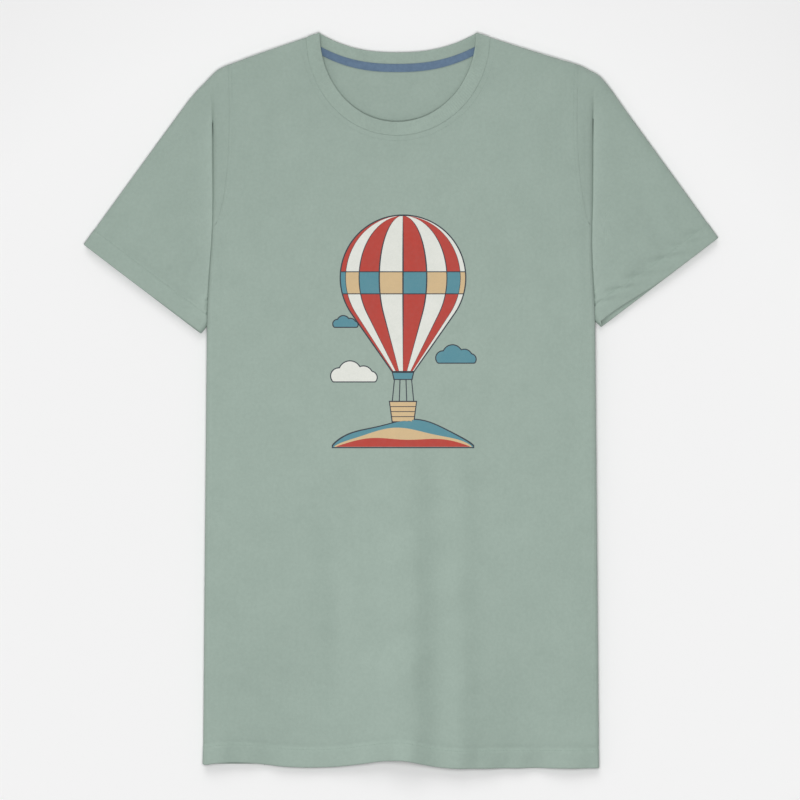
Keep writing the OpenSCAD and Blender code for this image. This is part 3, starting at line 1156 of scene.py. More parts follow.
@dataclass
class Sleeve:
    """A short sleeve laid flat, its cap folded at the crease and its hem turned."""

    side: Side
    front_steps: int = 92
    back_steps: int = 40
    cap_share: float = 0.7
    round_share: float = 0.2
    spread_from: float = 0.655
    spread_to: float = 0.79
    flat_steps: int = 5
    arc_steps: int = 9
    out_steps: int = 56
    upper_roll: float = 14.0
    under_roll: float = 5.0
    shoulder_ease: float = 0.25
    seam_gap: float = 0.1
    clearance: float = 0.6
    crest_z: tuple[float, float] = (9.0, 9.4)
    crest_run: float = 12.0
    cap_run: float = 46.0
    top_ease: float = 0.12

    HEM_D = (
        31.0, 26.0, 22.0, 19.5, 18.2, 17.3, 16.7, 16.1, 15.2, 14.0, 13.2,
        12.6, 12.0, 11.2, 9.0, 6.0, 3.0, 1.2, 0.45, 0.12, 0.0,
    )
    STITCH_D = 16.7
    ARC_END = math.radians(118.0)
    TURN = (
        (-3, 0.06), (-2, 0.2), (-1, 0.5), (-2, 0.8), (-3, 0.94),
        (-4, 1.0), (-6, 1.0), (-9, 1.0), (-13, 1.0), (-16, 1.0),
    )

    @property
    def drape(self) -> SleeveLay:
        """How this sleeve lies."""
        return SLEEVE_LAYS[self.side]

    def seam(self, c: Array) -> Array:
        """Places of the armhole seam on the plan.

        Args:
            c: Shares across the sleeve.

        Returns:
            X and Y on the last axis.
        """
        lay = LAY
        w, r = lay.crease_w / 2.0, float(lay.fold_r(lay.cross_y))
        t = np.clip((c - self.cap_share) / (1.0 - self.cap_share), 0.0, 1.0)
        turn = np.clip(t / self.round_share, 0.0, 1.0)
        around_x = w - r + r * np.sin(math.pi * turn)
        around_y = lay.strip_top(lay.front_turn * turn) + self.clearance
        around = np.stack([around_x, around_y], axis=-1)
        start = np.array([w - r, float(lay.strip_top(lay.front_turn)) - 1.0])
        inward = np.clip((t - self.round_share) / (1.0 - self.round_share), 0, 1)
        hidden = mix(start, lay.armpit_p, inward[..., None])
        cap = lay.armhole(np.clip(c / self.cap_share, 0.0, 1.0)) + np.array([self.seam_gap, 0.0])
        below = np.where((turn < 1.0)[..., None], around, hidden)
        return np.where((t <= 0.0)[..., None], cap, below)

    def top_edge(self, s: Array) -> Array:
        """Upper edge of the sleeve on the plan.

        Args:
            s: Shares along it, from the shoulder to the hem.

        Returns:
            X and Y on the last axis.
        """
        lay, first = LAY, self.shoulder_ease
        a, q = lay.shoulder_p + [self.seam_gap, 0.0], lay.corner_p + 34.0 * lay.along
        t = np.clip(s / first, 0.0, 1.0)[..., None]
        curve = (1 - t) ** 2 * a + 2 * t * (1 - t) * lay.corner_p + t * t * q
        line = mix(q, lay.tip_p, np.clip((s - first) / (1.0 - first), 0.0, 1.0)[..., None])
        return np.where((s < first)[..., None], curve, line)

    def plan(self, c: Array, s: Array) -> Array:
        """Places on the plan.

        Args:
            c: Shares across the sleeve, from its upper edge to the underarm.
            s: Shares along it, from the seam to the hem.

        Returns:
            X and Y on the last axis.
        """
        start, end = self.seam(c), mix(LAY.tip_p, LAY.under_p, c[..., None])
        zero = np.zeros_like(s)
        bulge = self.top_edge(s) - mix(self.seam(zero), LAY.tip_p, s[..., None])
        return mix(start, end, s[..., None]) + bulge * (1.0 - c[..., None])

    def stations(self, c: Array) -> tuple[Array, Array, Array]:
        """Shares along the sleeve at which it is drawn.

        Args:
            c: Shares across the sleeve.

        Returns:
            Shares along it by row and column, the share at the crease, and the angle of each row
            round the crease's fold.
        """
        lay = LAY
        start, end = self.seam(c), mix(lay.tip_p, lay.under_p, c[:, None])
        length = np.linalg.norm(end - start, axis=1)
        reach = lay.half_w(start[:, 1]) - start[:, 0]
        crease = np.clip(reach / (end[:, 0] - start[:, 0]), 0.0, 0.9)
        run = self.crease_size(start[:, 1], lay.crease_run)
        flat_end = crease * np.clip(1.0 - run / np.maximum(reach, 1e-6), 0.0, 1.0)
        flat_end = np.where(c > self.cap_share, 0.0, flat_end)
        t = np.clip((c - self.cap_share) / (1.0 - self.cap_share) / self.round_share, 0.0, 1.0)
        hem = 1.0 - np.array(self.HEM_D)[:, None] / length
        flat = flat_end * (np.arange(self.flat_steps)[:, None] / self.flat_steps)
        k = np.arange(self.arc_steps)[:, None] / (self.arc_steps - 1)
        arc = mix(flat_end, crease, k)
        angle = mix(np.minimum(math.pi * t, self.ARC_END), self.ARC_END, k)
        q = (np.arange(1, self.out_steps)[:, None] / self.out_steps) ** 1.35
        out = mix(crease, hem[0], q)
        s = np.concatenate([flat, arc, out, hem])
        first = np.broadcast_to(angle[0], flat.shape)
        beyond = np.full((len(out) + len(hem), len(c)), np.nan)
        return s, crease, np.concatenate([first, angle, beyond])

    @staticmethod
    def crease_size(y: Array, size: float) -> Array:
        """Size of the cap's fold at the crease, which starts as the body's own fold."""
        return mix(LAY.fold_r(y), size, ease((y - LAY.cross_y) / 35.0))

    def spread(self, c: Array, s: Array, crease: Array) -> Array:
        """Shift up the plan that spaces the columns evenly where the seam goes round the fold.

        Args:
            c: Shares across the sleeve.
            s: Shares along it by row and column.
            crease: Share along it at the crease.

        Returns:
            The shift by row and column.
        """
        raw = self.plan(c, crease)[..., 1]
        low, high = self.spread_from, self.spread_to
        ends = np.interp([low - 0.01, low, high, high + 0.01], c, raw)
        a, b = (ends[1] - ends[0]) * (high - low) / 0.01, (ends[3] - ends[2]) * (high - low) / 0.01
        t = np.clip((c - low) / (high - low), 0.0, 1.0)
        even = ends[1] * (1 + 2 * t) * (1 - t) ** 2 + ends[2] * t * t * (3 - 2 * t)
        even = even + a * t * (1 - t) ** 2 - b * t * t * (1 - t)
        inside = (c > low) & (c < high)
        k = np.zeros(s.shape)
        first = self.flat_steps + self.arc_steps
        k[self.flat_steps:first] = np.linspace(0.0, 1.0, self.arc_steps)[:, None]
        k[first:] = (1.0 - s[first:]) / (1.0 - crease)
        return k * np.where(inside, even - raw, 0.0)

    def edge_roll(self, c: Array, s: Array) -> Array:
        """Share of its height that a layer has beside the sleeve's two edges.

        Args:
            c: Shares across the sleeve by row and column.
            s: Shares along it by row and column.

        Returns:
            The share by row and column.
        """
        width = mix(LAY.armhole_drop / self.cap_share * 0.85, LAY.sleeve_open, s)
        upper, under = roll(c * width, self.upper_roll), roll((1.0 - c) * width, self.under_roll)
        return np.minimum(upper, under)

    def front_grid(self, c: Array) -> Array:
        """Points of the sleeve's front layer.

        Args:
            c: Shares across the sleeve.

        Returns:
            Rows of points.
        """
        lay = LAY
        s, crease, angles = self.stations(c)
        cc = np.broadcast_to(c, s.shape)
        pull = self.drape.hem_pull * ease((cc - 0.42) / 0.5) * ease((1.0 - cc) / 0.02)
        pull = pull * ease((s - 0.5) / 0.4)
        p = self.plan(cc, s) - lay.along * pull[..., None]
        x, y = p[..., 0], p[..., 1] + self.spread(c, s, crease)
        e = x - lay.half_w(y)
        pleat = lay.pleat(y)
        loft = lay.sleeve_loft + self.folds(cc, s, x, y)
        start_z = mix(*self.crest_z, ease((y - 95.0) / 95.0))
        low = mix(start_z, loft, 1.0 - np.exp(-np.maximum(e, 0.0) / self.crest_run))
        high = mix(lay.front_top(x * self.side.value, y), loft, ease(e / self.cap_run))
        z = mix(high, low, pleat)
        side_r = lay.fold_r(y)
        reach, inward = side_r + self.clearance, np.clip(e + side_r, 0.0, None)
        clear = np.sqrt(np.maximum(0.0, reach**2 - inward**2))
        below = np.where(e < self.clearance, lay.edge_z(y) - side_r - clear, 99.0)
        z = z - ease((cc - self.cap_share + 0.03) / 0.06) * np.maximum(0.0, z - below)
        cap_end = self.cap_share + self.round_share * (1.0 - self.cap_share)
        on_cap = np.isfinite(angles) & (cc <= cap_end)
        a = np.where(on_cap, angles, 0.0) * (1.0 - self.top_ease * ease((y - 252.0) / 34.0))
        top, deep = lay.front_top(x * self.side.value, y), self.crease_size(y, lay.crease_r)
        run = self.crease_size(y, lay.crease_run)
        flat_x, flat_z = x, np.where(on_cap, top, z)
        fold_x, fold_z = lay.half_w(y) - run + run * np.sin(a), top - deep + deep * np.cos(a)
        on_arc = on_cap & ((np.arange(len(s))[:, None] >= self.flat_steps) | (cc > self.cap_share))
        x = np.where(on_arc, mix(flat_x, fold_x, pleat), x)
        z = np.where(on_arc, mix(flat_z, fold_z, pleat), flat_z)
        z = mix(z, self.drape.hem_z, self.drape.hem_press * ease((s - 0.7) / 0.28))
        middle = np.minimum(lay.join_z, (z + lay.ply) / 2.0)
        return np.stack([x, y, mix(middle, z, self.edge_roll(cc, s))], axis=-1)

    def back_grid(self, c: Array) -> Array:
        """Points of the sleeve's back layer.

        Args:
            c: Shares across the sleeve.

        Returns:
            Rows of points.
        """
        lay = LAY
        s, _, _ = self.stations(c)
        cc = np.broadcast_to(c, s.shape)
        p, seam = self.plan(cc, s), self.seam(c)
        start = np.where(c <= self.cap_share, lay.back_top(seam[:, 0], seam[:, 1]), lay.ply)
        lift = self.drape.back_lift * ease((s - 0.72) / 0.28)
        lift = lift * ease(cc / 0.1) * ease((1.0 - cc) / 0.1)
        z = mix(start, lay.ply, ease(s / 0.3)) + lift
        middle = np.minimum(lay.join_z, (lay.sleeve_loft * 0.8 + z) / 2.0)
        return np.stack([p[..., 0], p[..., 1], mix(middle, z, self.edge_roll(cc, s))], axis=-1)

    def folds(self, c: Array, s: Array, x: Array, y: Array) -> Array:
        """Soft folds of the sleeve's front layer.

        Args:
            c: Shares across the sleeve.
            s: Shares along it.
            x: Places across the plan.
            y: Places up the plan.

        Returns:
            Heights in millimetres.
        """
        seed = self.drape.fold_seed
        drag = 0.9 * ripple(c * 146.0 + 22.0 * (1.0 - s), seed, 70.0, 24.0) * ease((s - 0.45) / 0.4)
        broad = 0.8 * ripple(0.6 * x - 0.8 * y, seed + 1, 150.0, 70.0) * ease((s - 0.15) / 0.3)
        inside = ease(c / 0.16) * ease((1.0 - c) / 0.16)
        return self.drape.fold_share * inside * (drag + broad)

    def relief(self, d: Array, along_hem: Array) -> Array:
        """Small relief of the hem's stitch lines, along the outward direction.

        Args:
            d: Distances from the hem's edge.
            along_hem: Places along the hem.

        Returns:
            Heights in millimetres.
        """
        drape = self.drape
        inside = ease((along_hem - 6.0) / 14.0) * ease((LAY.sleeve_open - along_hem - 2.0) / 8.0)
        lines = -0.26 * bell(d, self.STITCH_D, 0.8) - inside * drape.hem_dip * bell(d, 18.8, 3.2)
        band = 0.26 * ease((LAY.sleeve_hem_h + 0.6 - d) / 1.6) + 0.3 * inside * bell(d, 8.0, 5.0)
        wave = ripple(along_hem - 2.05 * d, drape.pucker_seed, 36.0, 20.0)
        return lines + band + inside * (drape.pucker * wave * bell(d, 16.0, 9.5))

    def grid(self) -> ClothGrid:
        """Closed rings of the sleeve's outer layer, from the seam to the hem.

        Returns:
            The grid, on the left side of the shirt.
        """
        t = np.linspace(0.0, 1.0, self.front_steps + 1)
        front_c = mix(t, ease(t), 0.45)
        back_c = ease(np.linspace(1.0, 0.0, self.back_steps + 1)[1:-1])
        front, back = self.front_grid(front_c), self.back_grid(back_c)
        grid = ClothGrid(np.concatenate([front, back], axis=1), wrap=True)
        c = np.concatenate([front_c, back_c])
        d = np.full(grid.points.shape[:2], 99.0)
        d[-len(self.HEM_D):] = np.array(self.HEM_D)[:, None]
        upper = np.arange(len(c)) <= self.front_steps
        relief = self.relief(d, c * LAY.sleeve_open)
        return grid.moved(np.where(upper, relief, np.minimum(relief, 0.0)))

    def crest_painted_highlight(self, points: Array) -> Array:
        """Painted highlight along the crest beside the crease: the share by which the cloth is
        paler there.

        Args:
            points: Rows of points on the left side of the shirt.

        Returns:
            The share at each point.
        """
        x, y = points[..., 0], points[..., 1]
        beyond = x - LAY.half_w(y)
        near = np.exp(-np.maximum(beyond, 0.0) / 9.0) * ease((beyond + 0.5) / 1.5)
        upper = np.arange(points.shape[1]) <= self.front_steps
        return near * LAY.pleat(y) * upper

    def mirrored(self, points: Array) -> Array:
        """Points moved to this sleeve's side and settled."""
        return LAY.settle(points * np.array([self.side.value, 1.0, 1.0]))

    def hem_row(self, distance: float) -> tuple[Array, Array]:
        """A closed line round the hem on the outer face.

        Args:
            distance: Distance from the hem's edge.

        Returns:
            Points and outward directions.
        """
        grid = self.grid()
        row = int(np.argmin(np.abs(np.array(self.HEM_D) - distance))) - len(self.HEM_D)
        upper = np.arange(grid.points.shape[1]) <= self.front_steps
        lift = np.where(upper, LAY.ply + 0.02, LAY.ply - 0.24)[:, None]
        points = self.mirrored(grid.points[row] + grid.normals[row] * lift)
        return points, grid.normals[row] * np.array([self.side.value, 1.0, 1.0])

    def build(self, finishes: Finishes) -> bpy.types.Object:
        """Make the sleeve with its turned hem.

        Args:
            finishes: The shirt's materials.

        Returns:
            The piece.
        """
        grid = self.grid()
        turned = np.stack([
            grid.points[r] - grid.normals[r] * LAY.turn_gap * share for r, share in self.TURN
        ])
        lip = np.array([share * (1.0 - share) * 4.0 for _, share in self.TURN])
        turned[..., :2] += 0.2 * lip[:, None, None] * LAY.along
        plain = np.concatenate([grid.points[:-3], turned])
        plain[..., 2] = np.maximum(plain[..., 2], LAY.ply)
        word = self.side.name.lower()
        # The sleeve's cloth carries a painted highlight along the crest beside its crease.
        mesh = cloth_mesh(
            f"{word}_sleeve_cloth", self.mirrored(plain), wrap=True, flip=self.side is Side.RIGHT,
            painted_shading=self.crest_painted_highlight(plain),
        )
        piece = add_piece(f"{word}_sleeve_cloth", mesh, finishes.jersey)
        thicken(piece, LAY.sheet_t)
        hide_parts(f"{word}_sleeve", f"{word}_sleeve_hem")
        return piece


@dataclass
class Neckband:
    """The ribbed band round the neck, folded double at its free edge."""

    ribs: int = 224
    rib_samples: int = 6
    rib_depth: float = 0.06
    stand: float = 4.2
    edge_steps: int = 4

    SHARES = (0.0, 0.05, 0.12, 0.25, 0.45, 0.65, 0.82, 0.93)
    FULLNESS = (0.0, 0.35, 0.7, 1.0, 1.0, 1.0, 1.0, 1.0)

    def line(self, turn: Array, share: float) -> Array:
        """A line round the band.

        Args:
            turn: Places round the band, from 0 to 1, starting at the middle of the front.
            share: Place across the band, 0 at the seam and 1 at the free edge.

        Returns:
            Points of the band's middle surface.
        """
        lay = LAY
        a = turn * 2.0 * math.pi
        front = np.cos(a) >= 0.0
        t = np.arcsin(np.clip(np.abs(np.sin(a)), 0.0, 1.0))
        nape = lay.back_drop * (1.0 - np.sin(t) ** lay.nape_power)
        free_y = lay.hsp_y - np.where(front, lay.neck_drop * np.cos(t), nape)
        free = np.stack([lay.neck_hw * np.sin(t), free_y], axis=-1)
        seam = np.where(front[:, None], lay.front_neck(t), lay.back_neck(t))
        p = mix(seam, free, 0.008 + 0.992 * share)
        x, y = np.sign(np.sin(a)) * p[:, 0], p[:, 1]
        proud = roll(lay.below_shoulder(x, y), lay.roll_w)
        stand = self.stand * share**2 * ease((y - lay.hsp_y + 52.0) / 40.0)
        top = lay.front_z(x, y) + (0.25 + stand) * proud
        low = lay.back_z(x, y) + (lay.rib_t - lay.cloth_t) / 2.0 * proud
        return np.stack([x, y, np.where(front, top, low)], axis=-1)

    def build(self, finishes: Finishes) -> bpy.types.Object:
        """Make the band.

        Args:
            finishes: The shirt's materials.

        Returns:
            The piece.
        """
        n = self.ribs * self.rib_samples
        turn = (np.arange(n) + 0.5) / n
        grid = ClothGrid(np.stack([self.line(turn, s) for s in self.SHARES]), wrap=True)
        rib = self.rib_depth * np.cos(2.0 * math.pi * np.arange(n) / self.rib_samples)
        half = LAY.rib_t / 2.0 - 0.1
        full = ease(np.array(self.FULLNESS))[:, None, None]
        thick = mix(LAY.ply, half, full) + rib[None, :, None] * full
        outer = grid.points + grid.normals * thick
        inner = (grid.points - grid.normals * thick)[::-1]
        up = grid.points[-1] - grid.points[-2]
        up = up / np.linalg.norm(up, axis=1, keepdims=True)
        edge = []
        size = (half + rib * 0.7)[:, None]
        for k in range(1, self.edge_steps + 1):
            a = math.pi * k / (self.edge_steps + 1)
            out = grid.normals[-1] * math.cos(a) + up * math.sin(a)
            edge.append(grid.points[-1] + size * out)
        points = LAY.settle(np.concatenate([outer, np.stack(edge), inner]))
        mesh = cloth_mesh("neckband_rib", points, wrap=True, close=True)
        piece = add_piece("neckband_rib", mesh, finishes.rib)
        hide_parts("neckband")
        return piece


@dataclass
class NeckTape:
    """The woven tape over the back neck seam."""

    reach: float = 61.0
    steps: int = 110
    across: int = 6

    def line(self, share: float, lift: float) -> Array:
        """A line along the tape.

        Args:
            share: Place across the tape, 0 at its lower edge and 1 at the seam.
            lift: Height above the back's inner face.

        Returns:
            Points from the right to the left.
        """
        t = np.radians(np.linspace(-self.reach, self.reach, self.steps))
        p = LAY.back_neck(np.abs(t)) - [0.0, LAY.tape_w * (1.0 - share)]
        z = LAY.back_z(p[:, 0], p[:, 1]) + LAY.ply + lift
        return LAY.settle(np.stack([np.sign(t) * p[:, 0], p[:, 1], z], axis=-1))

    def build(self, finishes: Finishes) -> bpy.types.Object:
        """Make the tape.

        Args:
            finishes: The shirt's materials.

        Returns:
            The piece.
        """
        k = np.linspace(0.0, 1.0, self.across)
        crown = 0.12 * (1.0 - (2.0 * k - 1.0) ** 2)
        points = np.stack([self.line(s, LAY.tape_t / 2.0 + h) for s, h in zip(k, crown)])
        mesh = cloth_mesh("neck_tape_twill", points, wrap=False)
        piece = add_piece("neck_tape_twill", mesh, finishes.tape)
        thicken(piece, LAY.tape_t - 0.1)
        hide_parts("neck_tape")
        return piece


@dataclass
class SideSeam:
    """The overlocked seam along the inner edge of a folded-under side."""

    side: Side
    half_width: float = 0.7
    rows: int = 150
    ring: int = 8

    def path(self) -> Array:
        """Middle line of the seam.

        Returns:
            Points from the hem to the armpit.
        """
        y = np.linspace(LAY.hem_y + 0.5, float(LAY.strip_top(1.0)), self.rows)
        x = LAY.half_w(y) - LAY.tuck_w - self.half_width - 0.3
        z = (LAY.strip_front_z(y) + LAY.strip_back_z(y)) / 2.0
        return np.stack([self.side.value * x, y, z], axis=-1)

    def build(self, finishes: Finishes) -> bpy.types.Object:
        """Make the seam.

        Args:
            finishes: The shirt's materials.

        Returns:
            The piece.
        """
        path = self.path()
        a = np.linspace(0.0, 2.0 * math.pi, self.ring, endpoint=False)
        ends = np.ones(self.rows)
        ends[[0, 1, -2, -1]] = (0.002, 0.6, 0.6, 0.002)
        high = ends * (LAY.ply_step / 2.0 + 0.15) * (1.0 + 0.05 * np.sin(path[:, 1] * 2.1))
        ring = np.stack([np.cos(a) * self.half_width, 0.0 * a, np.sin(a)], axis=-1)
        points = path[:, None, :] + ring[None] * np.stack([ends, high, high], axis=-1)[:, None, :]
        word = self.side.name.lower()
        mesh = cloth_mesh(f"{word}_seam_bead", LAY.settle(points), wrap=True)
        piece = add_piece(f"{word}_seam_bead", mesh, finishes.thread)
        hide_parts(f"{word}_side_seam")
        return piece


class StitchTree:
    """Geometry nodes that lay stitches along lines."""

    def __init__(self) -> None:
        """Build the tree with its named inputs."""
        self.tree = bpy.data.node_groups.new("stitch_row", "GeometryNodeTree")
        face = self.tree.interface
        face.new_socket("Geometry", in_out="INPUT", socket_type="NodeSocketGeometry")
        self.inputs = {
            name: face.new_socket(name, in_out="INPUT", socket_type=kind).identifier
            for name, kind in (
                ("Stitch Length", "NodeSocketFloat"),
                ("Stitch Size", "NodeSocketVector"),
                ("Material", "NodeSocketMaterial"),
            )
        }
        face.new_socket("Geometry", in_out="OUTPUT", socket_type="NodeSocketGeometry")
        nodes = Nodes(self.tree)
        given = nodes.add("NodeGroupInput").outputs
        curve = nodes.add("GeometryNodeMeshToCurve", Mesh=given["Geometry"])
        even = nodes.add("GeometryNodeResampleCurve", Curve=curve.outputs[0])
        even.mode = "LENGTH"
        nodes.put(even.inputs["Length"], given["Stitch Length"])
        tangent = nodes.add("GeometryNodeInputTangent")
        out = nodes.add("GeometryNodeInputNamedAttribute", Name="out")
        out.data_type = "FLOAT_VECTOR"
        lengthwise = nodes.add("FunctionNodeAlignRotationToVector", Vector=tangent.outputs[0])
        lengthwise.axis = "X"
        upright = nodes.add(
            "FunctionNodeAlignRotationToVector", Rotation=lengthwise.outputs[0],
            Vector=out.outputs[0],
        )
        upright.axis, upright.pivot_axis = "Z", "X"
        stitch = nodes.add("GeometryNodeMeshUVSphere", Segments=6, Rings=4, Radius=1.0)
        smooth = nodes.add("GeometryNodeSetShadeSmooth", Geometry=stitch.outputs[0])
        laid = nodes.add(
            "GeometryNodeInstanceOnPoints", Points=even.outputs[0], Instance=smooth.outputs[0],
            Rotation=upright.outputs[0], Scale=given["Stitch Size"],
        )
        real = nodes.add("GeometryNodeRealizeInstances", Geometry=laid.outputs[0])
        done = nodes.add(
            "GeometryNodeSetMaterial", Geometry=real.outputs[0], Material=given["Material"]
        )
        nodes.add("NodeGroupOutput", Geometry=done.outputs[0])


@dataclass
class StitchRows:
    """Rows of stitches that make one piece."""

    name: str
    material: bpy.types.Material
    pitch: float = 3.0
    thread: float = 0.5
    slot: Slot = Slot.JERSEY

    LENGTH_SHARE = 0.42
    WIDTH_SHARE = 0.5
    HEIGHT_SHARE = 0.42

    def build(self, tree: StitchTree, lines: list[tuple[Array, Array]]) -> bpy.types.Object:
        """Lay the stitches.

        Args:
            tree: The nodes that lay them.
            lines: Points and outward directions of each row.

        Returns:
            The piece.
        """
        points, outward, edges, start = [], [], [], 0
        for p, n in lines:
            points.append(p)
            outward.append(n)
            edges += [(start + k, start + k + 1) for k in range(len(p) - 1)]
            start += len(p)
        mesh = bpy.data.meshes.new(self.name + "_lines")
        mesh.from_pydata((np.concatenate(points) * MM).tolist(), edges, [])
        mesh.attributes.new("out", "FLOAT_VECTOR", "POINT").data.foreach_set(
            "vector", np.concatenate(outward).astype(np.float32).ravel()
        )
        guide = hang(self.name + "_lines", mesh)
        row = guide.modifiers.new("stitches", "NODES")
        row.node_group = tree.tree
        row[tree.inputs["Stitch Length"]] = self.pitch * MM
        row[tree.inputs["Stitch Size"]] = (
            self.LENGTH_SHARE * self.pitch * MM,
            self.WIDTH_SHARE * self.thread * MM,
            self.HEIGHT_SHARE * self.thread * MM,
        )
        row[tree.inputs["Material"]] = self.material
        laid = guide.evaluated_get(bpy.context.evaluated_depsgraph_get())
        result = bpy.data.meshes.new_from_object(laid)
        bpy.data.objects.remove(guide)
        bpy.data.meshes.remove(mesh)
        result.name = self.name
        return add_piece(self.name, result, self.material)


def level(points: Array) -> tuple[Array, Array]:
    """A line whose outward direction is straight up."""
    return points, np.broadcast_to(np.array([0.0, 0.0, 1.0]), points.shape).copy()


class Seams:
    """All the rows of visible stitches."""

    def __init__(self, tree: StitchTree, finishes: Finishes) -> None:
        """Keep the tree and the materials."""
        self.tree, self.finishes = tree, finishes

    def neck_line(self) -> tuple[Array, Array]:
        """Row of stitches on the front, outside the neckband's seam.

        Returns:
            Points and outward directions.
        """
        t = np.linspace(-0.44 * math.pi, 0.44 * math.pi, 240)
        p = LAY.front_neck(np.abs(t))
        side = np.stack([np.sin(np.abs(t)), -np.cos(t)], axis=-1)
        p = (p + 5.0 * side) * np.stack([np.sign(t), np.ones_like(t)], axis=-1)
        z = LAY.front_z(p[:, 0], p[:, 1]) + LAY.ply - 0.02
        return level(LAY.settle(np.stack([p[:, 0], p[:, 1], z], axis=-1)))

    def armhole_line(self, side: Side) -> tuple[Array, Array]:
        """Row of stitches on the front beside an armhole seam.

        Args:
            side: The side of the seam.

        Returns:
            Points and outward directions.
        """
        y = np.linspace(LAY.shoulder_p[1] - 8.0, LAY.cross_y + 14.0, 120)
        x = LAY.armhole_x(y) - 3.4
        z = LAY.front_z(side.value * x, y) + LAY.ply + 0.05
        return level(LAY.settle(np.stack([side.value * x, y, z], axis=-1)))

    def build(
        self, panels: list[BodyPanel], sleeves: list[Sleeve], tape: NeckTape
    ) -> list[bpy.types.Object]:
        """Lay every row.

        Args:
            panels: The front and back of the body.
            sleeves: The two sleeves.
            tape: The neck tape.

        Returns:
            The pieces.
        """
        thread, tape_thread = self.finishes.thread, self.finishes.tape_thread
        hems = [p.hem_row(p.STITCH_D) for p in panels]
        cuffs = [s.hem_row(s.STITCH_D) for s in sleeves]
        arms = [self.armhole_line(side) for side in Side]
        tapes = [level(tape.line(share, LAY.tape_t + 0.02)) for share in (0.13, 0.87)]
        rows = (
            (StitchRows("hem_stitches", thread), hems),
            (StitchRows("sleeve_stitches", thread), cuffs),
            (StitchRows("neck_stitches", thread, 2.8, 0.4), [self.neck_line()]),
            (StitchRows("armhole_stitches", thread, 2.8, 0.42), arms),
            (StitchRows("tape_stitches", tape_thread, 2.6, 0.45, Slot.TAPE), tapes),
        )
        return [row.build(self.tree, lines) for row, lines in rows]


